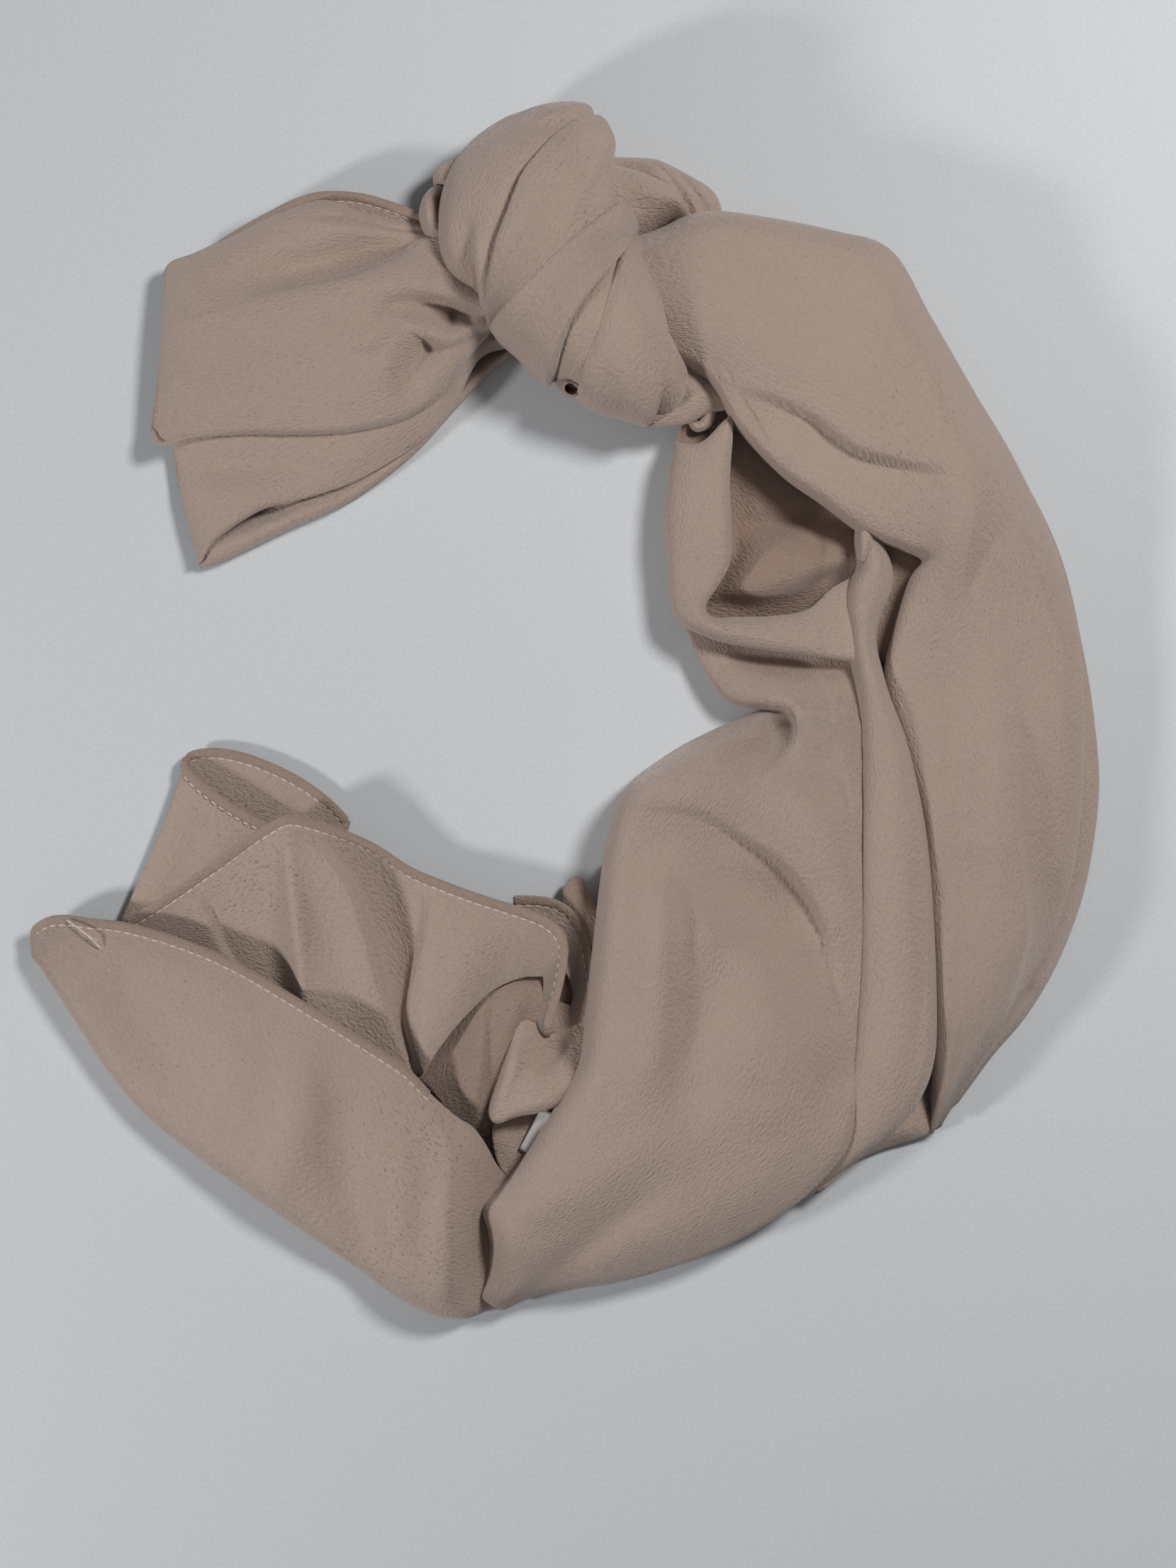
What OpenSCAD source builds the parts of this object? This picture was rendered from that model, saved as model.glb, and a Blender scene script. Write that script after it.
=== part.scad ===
// Knotted headband: a soft crepe scarf, tied in one fat knot and laid down in a C.
// The cloth is one hemmed panel. Each stretch of it that lies by itself is a solid of its own:
// the folded loop left of the knot, the pleats of the knot, the layers of the band and the tail.
// Lengths are millimetres. +Z is up, +Y runs from the tail to the knot, and the whole lies on z = 0.

/* [Cloth] */
// Thickness of a pressed double layer of cloth
layer_t = 5; // [4:0.5:5.5]
// Gap between neighbouring stretches of cloth
ease = 0.4; // [0.3:0.1:0.6]
// Width of the rolled hem
hem_w = 3.2; // [2.5:0.1:3.4]
// Thickness of the rolled hem
hem_t = 1.6; // [1.2:0.1:2]
// Thickness of the sewing thread
thread_t = 0.4; // [0.3:0.1:0.6]

/* [Knot] */
// Height of the knot
knot_h = 50; // [44:1:56]
// Half length of the knot across the band
knot_long = 49.5; // [46:0.5:50]
// Half width of the knot along the band
knot_wide = 32; // [30:0.5:32.5]
// Thickness of the pleats that wrap the knot
wrap_t = 7; // [5:0.5:9]

/* [Drape] */
// Height of the band where it leaves the knot
band_h = 30; // [26:1:34]
// Height of the lower half of the band
outer_h = 20; // [16:1:24]
// Height of the drape at the foot of the C
belly_h = 34; // [28:1:38]
// Height of the left loop
loop_h = 22; // [18:1:25]
// Height of the tail
tail_h = 22; // [18:1:25]

/* [Care label] */
// Length of the label from its seam
label_l = 23; // [18:1:24]
// Width of the label
label_w = 15; // [12:1:16]
// Thickness of the folded label
label_t = 0.8; // [0.6:0.1:1]

/* [Hidden] */

taupe = "#a38c7d";
taupe_dark = "#8a7467";
thread_colour = "#cbb9a8";
label_colour = "#eeeeee";
curve_steps = 5;
crown_steps = 8;

knot_at = [-5, 141];
knot_turn = 8;
pleat_apex = [-30, 100];
loop_pivot = [-53, 136];
loop_gather_r = 14;
tail_gather_at = [-20, -170];
tail_gather_r = 13;
tip_hinge = [-127, -94];
tip_turn = 142;
tip_h = layer_t + 7;
label_seam = [8, -141];
label_turn = 152;
label_z = layer_t + 1;
upper_z = layer_t + ease;

// The hems, from end to end
loop_hem_line = [[-112, 151], [-100, 158], [-85, 164], [-75, 166], [-62, 164], [-52, 160]];
flap_hem_line = [[-164, -71], [-157, -66], [-140, -67], [-120, -72], [-100, -81], [-80, -93], [-60, -105],
                 [-46, -117]];
middle_hem_line = [[-137, -64], [-120, -52.5], [-100, -39.5], [-87, -33], [-70, -38], [-50, -48], [-30, -57],
                   [-12, -62], [-4, -67]];
back_hem_line = [[-99, -32], [-108, -26], [-117, -19], [-118, -14], [-108, -13], [-92, -18], [-80, -23]];

// A draped stretch is a list of stations: a point on one edge, the point across from it, and the height between
band_upper_stations = [
    [[22, 148], [30, 115], band_h - 5], [[40, 157], [43, 105], band_h - 2], [[62, 155], [53, 94], band_h],
    [[84, 150], [66, 77.5], band_h], [[102, 143], [80, 67.5], band_h - 1], [[114, 123], [93, 59], band_h - 2],
    [[128, 99], [108, 52], band_h - 4], [[141, 78], [110, 42], band_h - 6], [[153, 55], [105, 32], band_h - 8],
    [[160.5, 24], [101, 17], outer_h + 1]];
band_lower_stations = [
    [[161, 23], [101, 16], outer_h], [[163.5, 0], [107, -6], outer_h], [[163.5, -22], [111.5, -32], outer_h],
    [[160, -46], [114.5, -58], outer_h - 1], [[151, -70], [115.5, -82], outer_h - 2],
    [[139, -94], [115.5, -100], outer_h - 4], [[128, -112], [115.5, -116], outer_h - 6],
    [[118.5, -128], [115.5, -129], outer_h - 9]];
inner_pleat_stations = [
    [[93.5, 58], [97, 57], 16], [[90.5, 44], [101, 46], 18], [[88.5, 34], [99.5, 32], 20], [[90, 14], [99, 13], 22],
    [[92.5, -8], [105.5, -8], 22], [[93.5, -32], [110.5, -33], 22], [[93, -60], [113.5, -60], 22],
    [[92, -86], [114.5, -86], 21], [[90.5, -108], [114, -110], 20], [[87.5, -129], [106, -125], 18],
    [[78, -148.5], [84, -147.5], 14]];
side_roll_stations = [
    [[39, 92], [50.5, 88], 20], [[33, 83], [50.5, 74], 24], [[31, 66], [50, 60], 25], [[31, 52], [50, 50], 24],
    [[31.5, 40], [46, 38], 22], [[35, 29.5], [42, 31.5], 18]];
cross_fold_stations = [
    [[42, 30.5], [38, 27.5], 18], [[55, 31], [52, 24], 22], [[68, 32.5], [66, 22], 24], [[80, 35], [80, 20], 24],
    [[87, 35], [88.5, 18], 22]];
inner_turn_stations = [
    [[38, 26.5], [42, 19], 14], [[52, 23.5], [50, 6], 20], [[66, 21.5], [60, 3.5], 24], [[80, 19], [75, 1.5], 24],
    [[89, 17], [91, 1], 22]];
belly_stations = [
    [[58, 0], [91.5, -1], belly_h - 12], [[34, -11], [92.5, -14], belly_h - 4], [[20, -24], [93, -32], belly_h],
    [[13.5, -42], [92.5, -50], belly_h], [[10.5, -62], [91.5, -72], belly_h], [[8, -84], [90.5, -92], belly_h],
    [[5, -106], [89.5, -112], belly_h - 1], [[-3, -122], [86, -131], belly_h - 2],
    [[-12, -138], [74, -150], belly_h - 4], [[-17, -150], [50, -166], belly_h - 6],
    [[-7, -158], [20, -176.5], belly_h - 8], [[-5, -167], [-4, -180.5], belly_h - 10]];
loop_stations = [
    [[-126, 139], [-129, 90], loop_h - 6], [[-110, 147.5], [-112, 87.5], loop_h - 3], [[-92, 156], [-90, 88.5], loop_h],
    [[-75, 160], [-72, 89.5], loop_h], [[-60, 158], [-57, 92.5], loop_h], [[-50, 154.5], [-48, 101], loop_h],
    [[-44, 151], [-43, 118], loop_h - 2]];
middle_fold_stations = [
    [[-132, -67], [-128, -68], 8], [[-119, -57.5], [-114, -72], 12], [[-104, -47.5], [-97, -80.5], 14],
    [[-88, -38.5], [-78, -92], 16], [[-70, -43], [-60, -103], 16], [[-52, -52], [-46.5, -112], 15],
    [[-34, -60.5], [-37, -99], 14], [[-16, -66.5], [-20, -84.5], 12], [[-7, -70.5], [-8, -80.5], 10]];
flap_stations = [
    [[-110.5, -80], [-140, -116], tip_h + 2], [[-98, -86.5], [-120, -135], tail_h - 3],
    [[-84, -95], [-98, -152.5], tail_h], [[-70, -104], [-77, -167.5], tail_h], [[-56, -113], [-57, -181], tail_h],
    [[-44, -123], [-42, -188.5], tail_h - 2], [[-34.5, -131], [-35, -183], tail_h - 3]];
tip_stations = [
    [[-159, -71.5], [-165, -76.5], tip_h - 3], [[-145, -71.5], [-157, -92], tip_h - 1],
    [[-130, -74], [-150, -103.5], tip_h], [[-116, -78], [-144.5, -111.5], tip_h]];

// A value on the Catmull-Rom curve from b to c
function bend(a, b, c, d, t) =
    ((2 * b) + (c - a) * t + (2 * a - 5 * b + 4 * c - d) * t * t + (3 * b - a - 3 * c + d) * t * t * t) / 2;

// An open curve through points or numbers
function curve(p) = [
    for (i = [0 : len(p) - 2], s = [0 : curve_steps - 1])
        bend(p[max(i - 1, 0)], p[i], p[i + 1], p[min(i + 2, len(p) - 1)], s / curve_steps),
    p[len(p) - 1]
];

// A closed curve through points
function ring(p) = let (n = len(p)) [
    for (i = [0 : n - 1], s = [0 : curve_steps - 1])
        bend(p[(i + n - 1) % n], p[i], p[(i + 1) % n], p[(i + 2) % n], s / curve_steps)
];

function reversed(p) = [for (i = [len(p) - 1 : -1 : 0]) p[i]];
function moved(p, by) = [for (q = p) q + by];
function unit(v) = v / max(norm(v), 0.001);
function total(v, i = 0) = i == len(v) - 1 ? v[i] : v[i] + total(v, i + 1);
function signed_area(p) = let (n = len(p)) total([for (i = [0 : n - 1]) cross(p[i], p[(i + 1) % n])]) / 2;

// A closed outline moved inwards by d
function inset(p, d) = let (n = len(p), side = sign(signed_area(p))) [
    for (i = [0 : n - 1]) let (t = unit(p[(i + 1) % n] - p[(i + n - 1) % n])) p[i] + side * d * [-t[1], t[0]]
];

// The outline of a strip of width w along an open curve
function strip(p, w) = let (n = len(p), side = [for (i = [0 : n - 1])
    let (t = unit(p[min(i + 1, n - 1)] - p[max(i - 1, 0)])) [-t[1], t[0]] * w / 2])
    concat([for (i = [0 : n - 1]) p[i] + side[i]], [for (i = [n - 1 : -1 : 0]) p[i] - side[i]]);

function ellipse(long, wide, n = 48) = [for (i = [0 : n - 1]) [wide * cos(360 * i / n), long * sin(360 * i / n)]];

// A flat layer of cloth between two heights
module layer(outline, z0, z1) {
    translate([0, 0, z0]) linear_extrude(z1 - z0) polygon(inset(outline, ease / 2));
}

// A draped stretch over its stations: flat below, edge_h high at its two edges, and crowned between them
module drape(stations, z0, edge_h) {
    one = curve([for (s = stations) s[0]]);
    other = curve([for (s = stations) s[1]]);
    crown = curve([for (s = stations) s[2]]);
    n = len(one);
    m = crown_steps + 3;
    points = [for (i = [0 : n - 1]) let (
            across = unit(other[i] - one[i]) * ease / 2,
            a = one[i] + across,
            b = other[i] - across)
        each concat([for (k = [0 : crown_steps]) let (p = a + (b - a) * k / crown_steps)
                        [p[0], p[1], edge_h + (crown[i] - edge_h) * pow(sin(180 * k / crown_steps), 0.7)]],
                    [[b[0], b[1], z0], [a[0], a[1], z0]])];
    walls = [for (i = [0 : n - 2], k = [0 : m - 1]) let (j = (k + 1) % m)
        [i * m + k, i * m + j, (i + 1) * m + j, (i + 1) * m + k]];
    ends = [[for (k = [m - 1 : -1 : 0]) k], [for (k = [0 : m - 1]) (n - 1) * m + k]];
    flip = signed_area([one[0], one[n - 1], other[n - 1], other[0]]) < 0;
    faces = concat(walls, ends);
    polyhedron(points, flip ? [for (f = faces) reversed(f)] : faces, convexity = 8);
}

// A round tuck: flat below, straight to edge_h at its rim, and domed over its middle
module tuck(outline, middle, z0, edge_h, top_h) {
    rings = 4;
    tilt = 78;
    rim = inset(outline, ease / 2);
    n = len(rim);
    points = concat(
        moved([for (p = rim) [p[0], p[1], 0]], [0, 0, z0]),
        [for (k = [0 : rings - 1], p = rim) let (a = tilt * k / (rings - 1), q = middle + (p - middle) * cos(a))
            [q[0], q[1], edge_h + (top_h - edge_h) * sin(a) / sin(tilt)]]);
    walls = [for (k = [0 : rings - 1], i = [0 : n - 1]) let (j = (i + 1) % n)
        [k * n + i, (k + 1) * n + i, (k + 1) * n + j, k * n + j]];
    ends = [[for (i = [0 : n - 1]) i], [for (i = [n - 1 : -1 : 0]) rings * n + i]];
    faces = concat(walls, ends);
    polyhedron(points, signed_area(rim) < 0 ? [for (f = faces) reversed(f)] : faces, convexity = 6);
}

// A rolled hem along a line, and the row of stitches that holds it
module hem(line, z) {
    translate([0, 0, z]) linear_extrude(hem_t) polygon(strip(curve(line), hem_w));
}

module hem_thread(line, z) {
    translate([0, 0, z + hem_t + ease / 10]) linear_extrude(thread_t) polygon(strip(curve(line), thread_t));
}

module knot_column() {
    translate([knot_at[0], knot_at[1], -1]) rotate(knot_turn) linear_extrude(knot_h + 2)
        polygon(ellipse(knot_long + ease, knot_wide + ease));
}

module loop_gather_column() {
    translate([loop_pivot[0], loop_pivot[1], -1]) cylinder(r = loop_gather_r + ease, h = knot_h, $fn = 64);
}

// Everything on one side of the line that the tail's tip folds along
module tip_side(side) {
    translate([tip_hinge[0], tip_hinge[1], -1]) rotate(tip_turn + (side > 0 ? 0 : 180))
        translate([ease / 2, -150, 0]) cube([300, 300, knot_h]);
}

// The label lies in a slot under the left edge of the drape
module label_slot() {
    translate([label_seam[0], label_seam[1], label_z - 1]) rotate(label_turn)
        translate([-3, -label_w / 2 - 2, 0]) cube([label_l + 12, label_w + 4, 8.7]);
}

// The knot's body, a solid of revolution about its long axis, cut flat where it lies
module egg(shrink) {
    profile = [for (a = [-90 : 7.5 : 90]) [(knot_wide - shrink) * cos(a), (knot_long - shrink) * sin(a)]];
    translate([knot_at[0], knot_at[1], knot_h - knot_wide]) rotate(knot_turn) rotate([90, 0, 0])
        rotate_extrude($fn = 64) polygon(profile);
}

// One pleat of the wrap: what a wedge from the lower left of the knot takes out of its shell
module pleat(from_angle, to_angle, shade) {
    reach = 140;
    gap = ease / 2;
    middle = (from_angle + to_angle) / 2;
    color(shade) difference() {
        intersection() {
            egg(0);
            linear_extrude(knot_h) polygon(moved([
                [0, 0], reach * [cos(from_angle + gap), sin(from_angle + gap)], reach * [cos(middle), sin(middle)],
                reach * [cos(to_angle - gap), sin(to_angle - gap)]], pleat_apex));
        }
        egg(wrap_t);
    }
}

module knot_core() color(taupe_dark) intersection() {
    egg(wrap_t + ease);
    translate([-100, 0, 0]) cube([200, 250, knot_h]);
}

module loop_gather() color(taupe_dark)
    translate([loop_pivot[0], loop_pivot[1], 0]) cylinder(r = loop_gather_r, h = loop_h + 2, $fn = 64);

module tail_gather() color(taupe_dark)
    translate([tail_gather_at[0], tail_gather_at[1], 0]) cylinder(r = tail_gather_r, h = tail_h - 2, $fn = 64);

module wrap_pleat_1() pleat(77, 112, taupe);
module wrap_pleat_2() pleat(58, 77, taupe_dark);
module wrap_pleat_3() pleat(38, 58, taupe);
module wrap_pleat_4() pleat(19, 38, taupe_dark);
module wrap_pleat_5() pleat(-16, 19, taupe);

module knot_collar() color(taupe_dark) difference() {
    tuck(ring([[-41, 159], [-36, 156], [-31, 165], [-26, 176], [-31, 180], [-39, 174], [-43, 166]]), [-36, 168],
         8, 14, 24);
    knot_column();
}

module knot_back_turn() color(taupe_dark) difference() {
    tuck(ring([[14, 172], [20, 175], [30, 173], [38, 168], [45, 163.5], [47, 160], [36, 157], [24, 151], [18, 158]]),
         [31, 164], 0, 16, 30);
    knot_column();
}

module knot_lower_tuck() color(taupe_dark) difference() {
    tuck(ring([[24, 94], [27, 110], [33, 107], [41, 102.5], [48, 97], [46, 93.5], [38, 94.5]]), [37, 99], 0, 14, 22);
    knot_column();
}

loop_bottom = [[-118, 50], [-110, 50], [-95, 56], [-75, 65], [-60, 76], [-50, 92], [-46, 106], [-44, 119]];
loop_top = [[-44, 151], [-52, 155], [-62, 159], [-75, 161], [-90, 157], [-108, 149], [-124, 140]];

module loop_under_layer() color(taupe_dark) difference() {
    layer(concat(curve(loop_top), curve([[-125, 138], [-126, 110], [-124, 80], [-119, 56]]), curve(loop_bottom)),
          0, layer_t);
    loop_gather_column();
}

module loop_middle_layer() color(taupe) difference() {
    layer(concat(curve(loop_top), curve([[-126, 138], [-127, 110], [-126, 86], [-117, 56]]),
                 curve([[-108, 58], [-90, 66], [-70, 73], [-55, 86], [-48, 100], [-44, 119]])),
          upper_z, upper_z + layer_t);
    loop_gather_column();
}

module loop_upper_layer() color(taupe) difference() {
    drape(loop_stations, upper_z + layer_t + ease, upper_z + layer_t + 4);
    loop_gather_column();
}

module loop_hem() color(taupe) hem(loop_hem_line, upper_z);
module loop_hem_thread() color(thread_colour) hem_thread(loop_hem_line, upper_z);

band_outside = [[60, 155], [88, 149], [100, 146], [112, 127], [128, 100], [143, 79], [153, 57], [160, 35],
                [166, 0], [168, -22], [165, -48], [157, -73], [142, -101], [126, -119]];

module band_under_layer() color(taupe_dark) difference() {
    layer(concat(curve(band_outside), curve([[116, -112], [116, -85], [115, -58], [112, -32], [107, -8], [102, 14],
                                            [101, 32], [103, 46], [98, 59]]),
                 curve([[92, 60], [66, 77], [52, 92], [51, 120], [52, 154]])), 0, layer_t - 1);
    knot_column();
}

module band_upper_layer() color(taupe) difference() {
    drape(band_upper_stations, layer_t - 1 + ease, 12);
    knot_column();
}

module band_lower_layer() color(taupe) drape(band_lower_stations, layer_t - 1 + ease, 9);

module band_corner_tuck() color(taupe_dark)
    layer(ring([[114, -120], [114.5, -130.5], [104, -135], [94, -139], [100, -134], [108, -127]]), 0, layer_t + 3);

module inner_pleat() color(taupe) drape(inner_pleat_stations, 0, 12);
module side_roll() color(taupe) drape(side_roll_stations, 0, 13);
module cross_fold() color(taupe) drape(cross_fold_stations, 0, 13);
module inner_turn() color(taupe) drape(inner_turn_stations, 0, 11);

module pocket_layer() color(taupe_dark)
    layer(concat(curve([[51.5, 88], [52, 70], [51.5, 50], [47, 38], [43, 33]]), curve([[60, 33.5], [78, 37], [87, 37]]),
                 curve([[88.5, 45], [91, 57], [80, 65], [66, 75], [56, 86]])), upper_z, upper_z + layer_t - 1);

module belly_drape() color(taupe) difference() {
    drape(belly_stations, 0, 16);
    label_slot();
}

module tail_back_fold() color(taupe_dark)
    layer(concat(curve([[-137, -60], [-130, -43], [-122, -26], [-118, -24]]), curve([[-108, -30], [-100, -35.5]]),
                 curve([[-115, -46], [-128, -54]])), 0, layer_t + 1);

module tail_back_hem() color(taupe_dark) hem(back_hem_line, 0);
module tail_back_hem_thread() color(thread_colour) hem_thread(back_hem_line, 0);

module tail_middle_fold() color(taupe) drape(middle_fold_stations, 0, 7);
module tail_middle_hem() color(taupe) hem(moved(middle_hem_line, [0, -hem_w / 2]), layer_t);
module tail_middle_hem_thread() color(thread_colour) hem_thread(moved(middle_hem_line, [0, -hem_w / 2]), layer_t);

module tail_left_tuck() color(taupe_dark)
    tuck(ring([[-43, -116], [-37, -103], [-25, -90.5], [-21.5, -98], [-22, -112], [-24, -127], [-31, -127]]),
         [-30, -111], 0, 8, 14);

module tail_right_tuck() color(taupe)
    tuck(ring([[-20, -88], [-10, -84.5], [-3, -84], [-3, -95], [3, -101], [1, -108], [-7, -116], [-18, -121],
               [-20, -112], [-19, -98]]), [-10, -103], 0, 10, 18);

lobe_outline = concat(
    curve([[-167.8, -74.5], [-160, -90], [-142, -117], [-122, -137], [-92, -160], [-62, -181], [-44, -190],
           [-37, -188]]),
    curve([[-35.5, -176], [-35, -165], [-32, -152], [-29, -137], [-44, -122]]),
    reversed(moved(curve(flap_hem_line), [0, -1])));

module tail_under_layer() color(taupe_dark) intersection() {
    layer(lobe_outline, 0, layer_t);
    tip_side(-1);
}

module tip_under_layer() color(taupe_dark) intersection() {
    layer(lobe_outline, 0, layer_t);
    tip_side(1);
}

module tail_flap() color(taupe) drape(flap_stations, upper_z, upper_z + 4);

module tip_upper_layer() color(taupe) drape(tip_stations, upper_z, upper_z + 3);

flap_hem_middle = moved(flap_hem_line, [0.3, -hem_w / 2 - 0.3]);

module tail_flap_hem() color(taupe) intersection() {
    hem(flap_hem_middle, upper_z);
    tip_side(-1);
}

module tip_hem() color(taupe) intersection() {
    hem(flap_hem_middle, upper_z);
    tip_side(1);
}

module tail_flap_hem_thread() color(thread_colour) intersection() {
    hem_thread(flap_hem_middle, upper_z);
    tip_side(-1);
}

module tip_hem_thread() color(thread_colour) intersection() {
    hem_thread(flap_hem_middle, upper_z);
    tip_side(1);
}

module thread_end() color(thread_colour)
    translate([0, 0, tip_h + 1]) linear_extrude(thread_t)
        polygon(strip(curve([[-157, -70], [-153, -70.5], [-150, -72.5], [-148, -76]]), thread_t));

module care_label() color(label_colour)
    translate([label_seam[0], label_seam[1], label_z]) rotate(label_turn)
        translate([0, -label_w / 2, 0]) cube([label_l, label_w, label_t]);

module label_seam_thread() color(thread_colour)
    translate([label_seam[0], label_seam[1], label_z]) rotate(label_turn)
        translate([-2 * thread_t - ease, -label_w / 2, 0]) cube([thread_t, label_w, label_t]);

knot_core();
loop_gather();
tail_gather();
wrap_pleat_1();
wrap_pleat_2();
wrap_pleat_3();
wrap_pleat_4();
wrap_pleat_5();
knot_collar();
knot_back_turn();
knot_lower_tuck();
loop_under_layer();
loop_middle_layer();
loop_upper_layer();
loop_hem();
loop_hem_thread();
band_under_layer();
band_upper_layer();
band_lower_layer();
band_corner_tuck();
inner_pleat();
side_roll();
cross_fold();
pocket_layer();
inner_turn();
belly_drape();
tail_back_fold();
tail_back_hem();
tail_back_hem_thread();
tail_middle_fold();
tail_middle_hem();
tail_middle_hem_thread();
tail_left_tuck();
tail_right_tuck();
tail_under_layer();
tail_flap();
tail_flap_hem();
tail_flap_hem_thread();
tip_under_layer();
tip_upper_layer();
tip_hem();
tip_hem_thread();
thread_end();
care_label();
label_seam_thread();
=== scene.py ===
"""Knotted crepe headband, laid in a C on a pale table: its cloth, hems, stitches and label."""
import math

import bpy
import numpy as np
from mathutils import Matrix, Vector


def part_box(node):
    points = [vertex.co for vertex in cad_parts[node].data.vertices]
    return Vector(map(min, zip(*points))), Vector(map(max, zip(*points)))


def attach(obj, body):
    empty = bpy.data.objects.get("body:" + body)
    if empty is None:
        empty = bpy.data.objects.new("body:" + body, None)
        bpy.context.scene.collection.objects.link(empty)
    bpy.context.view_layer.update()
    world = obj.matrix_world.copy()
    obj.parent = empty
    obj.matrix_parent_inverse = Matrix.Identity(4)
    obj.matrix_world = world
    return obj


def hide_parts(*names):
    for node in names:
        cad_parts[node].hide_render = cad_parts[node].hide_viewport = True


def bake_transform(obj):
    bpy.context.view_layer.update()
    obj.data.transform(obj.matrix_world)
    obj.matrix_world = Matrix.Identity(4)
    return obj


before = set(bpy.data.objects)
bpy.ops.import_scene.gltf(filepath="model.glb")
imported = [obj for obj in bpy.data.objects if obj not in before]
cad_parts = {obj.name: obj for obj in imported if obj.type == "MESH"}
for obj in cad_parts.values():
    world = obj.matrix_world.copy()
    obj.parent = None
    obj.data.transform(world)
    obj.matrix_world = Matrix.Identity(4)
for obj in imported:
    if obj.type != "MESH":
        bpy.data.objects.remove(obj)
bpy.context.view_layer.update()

MM = 0.001
CLOTH_T = 0.55          # thickness of the crepe, in millimetres like every length below
STEP = 1.5              # spacing of the cloth's mesh
HEM_W = 3.2             # width of a rolled hem
HEM_T = 1.5             # thickness of a rolled hem
STITCH = 3.0            # from one stitch to the next
STITCH_LONG = 2.2
THREAD_R = 0.2
HEM_IN = 0.36 * HEM_W   # from the edge of the cloth in to the middle of its hem
SEAM_IN = 0.9 * HEM_W   # from the edge of the cloth in to the hem's row of stitches
HEM_UP = 0.3            # how far a hem's middle stands off the cloth
SEAM_UP = 0.5           # how far the line of its stitches does
LOWEST = 0.7            # the cloth's lowest point above the table
LEDGE_RISE = 2.6        # how far a ledge takes to stand up
UNDERSIDE_ROUND = 7     # how round a stretch's underside is at its edges
EDGE_ALLOWANCE = 34     # added to twice the width of a stretch, for the height of its two edges
LEAST_END = 0.03        # share of the height that is left where an end thins out
LEAST_FLAT = 10.5       # least width and length taken for a sheet's flat size
LEAST_SHARE = 0.31      # least flat area, as a share of width times length


# ---------------------------------------------------------------- curves

def spline(points, t):
    """Points on the Catmull-Rom curve through points, at parameters t from 0 to len(points) - 1."""
    p = np.asarray(points, float)
    if p.ndim == 1:
        p = p[:, None]
    last = len(p) - 1
    i = np.clip(np.floor(t).astype(int), 0, last - 1)
    u = (t - i).reshape((-1,) + (1,) * (p.ndim - 1))
    a, b, c, d = p[np.maximum(i - 1, 0)], p[i], p[i + 1], p[np.minimum(i + 2, last)]
    square, cube = 2 * a - 5 * b + 4 * c - d, 3 * b - a - 3 * c + d
    return 0.5 * (2 * b + (c - a) * u + square * u ** 2 + cube * u ** 3)


def lengths(p):
    """Distance along a row of points, from its first."""
    return np.concatenate([[0], np.cumsum(np.linalg.norm(np.diff(p, axis=0), axis=1))])


def points_at(at, s, line):
    """The point or points of a line at lengths at along it, where its own points lie at lengths s."""
    return np.stack([np.interp(at, s, line[:, k]) for k in range(line.shape[1])], axis=-1)


def evenly(p, n):
    """n points spaced evenly along a row of points."""
    s = lengths(p)
    return points_at(np.linspace(0, s[-1], n), s, p)


def smooth_line(points, step):
    """A smooth line through points, with its points about step apart."""
    dense = spline(points, np.linspace(0, len(points) - 1, 40 * len(points)))
    return evenly(dense, max(2, int(lengths(dense)[-1] / step) + 1))


def station_parameters(stations, step):
    """Parameters along a run of stations, each a row of points, that put its rows about step apart."""
    t = np.linspace(0, len(stations) - 1, 60 * len(stations))
    moves = np.linalg.norm(np.diff(spline(stations, t), axis=0), axis=2)
    s = np.concatenate([[0], np.cumsum(0.5 * (moves.max(axis=1) + moves.mean(axis=1)))])
    return np.interp(np.linspace(0, s[-1], max(3, int(s[-1] / step) + 1)), s, t)


def quarter(x):
    """0 at 0 and 1 from 1 on, rising as a quarter of a circle."""
    return np.sqrt(1 - (1 - np.clip(x, 0, 1)) ** 2)


def ease_in(x):
    """0 up to 0 and 1 from 1 on, with a smooth start and end."""
    x = np.clip(x, 0, 1)
    return x * x * (3 - 2 * x)


# ---------------------------------------------------------------- relief

def near_line(xy, line):
    """Distance of points from a line of (x, y, height) points, the side they are on, and its height there."""
    p = smooth_line(np.asarray(line, float), 2.5)
    best = np.full(len(xy), np.inf)
    side = np.zeros(len(xy))
    high = np.zeros(len(xy))
    for a, b in zip(p[:-1], p[1:]):
        d = b[:2] - a[:2]
        t = np.clip(((xy - a[:2]) @ d) / max(d @ d, 1e-9), 0, 1)
        off = xy - (a[:2] + t[:, None] * d)
        dist = np.hypot(off[:, 0], off[:, 1])
        closer = dist < best
        best[closer] = dist[closer]
        side[closer] = np.sign(d[0] * off[closer, 1] - d[1] * off[closer, 0])
        high[closer] = (a[2] + t * (b[2] - a[2]))[closer]
    return best, side, high


def relief(xy, folds):
    """Height that folds add at each point. A fold is (kind, width, line) with line a row of (x, y, height):
    soft is a round ridge or valley, sharp a pinched one, and a ledge stands up on its line's left side."""
    z = np.zeros(len(xy))
    for kind, width, line in folds:
        dist, side, high = near_line(xy, line)
        if kind == "soft":
            z += high * np.exp(-(dist / width) ** 2)
        elif kind == "sharp":
            z += high * np.exp(-dist / width)
        else:
            z += high * ease_in(0.5 + side * dist / LEDGE_RISE) * np.exp(-(dist / width) ** 2 * (side > 0))
    return z


LATTICE = np.random.default_rng(7).uniform(-1, 1, (64, 64))


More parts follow.
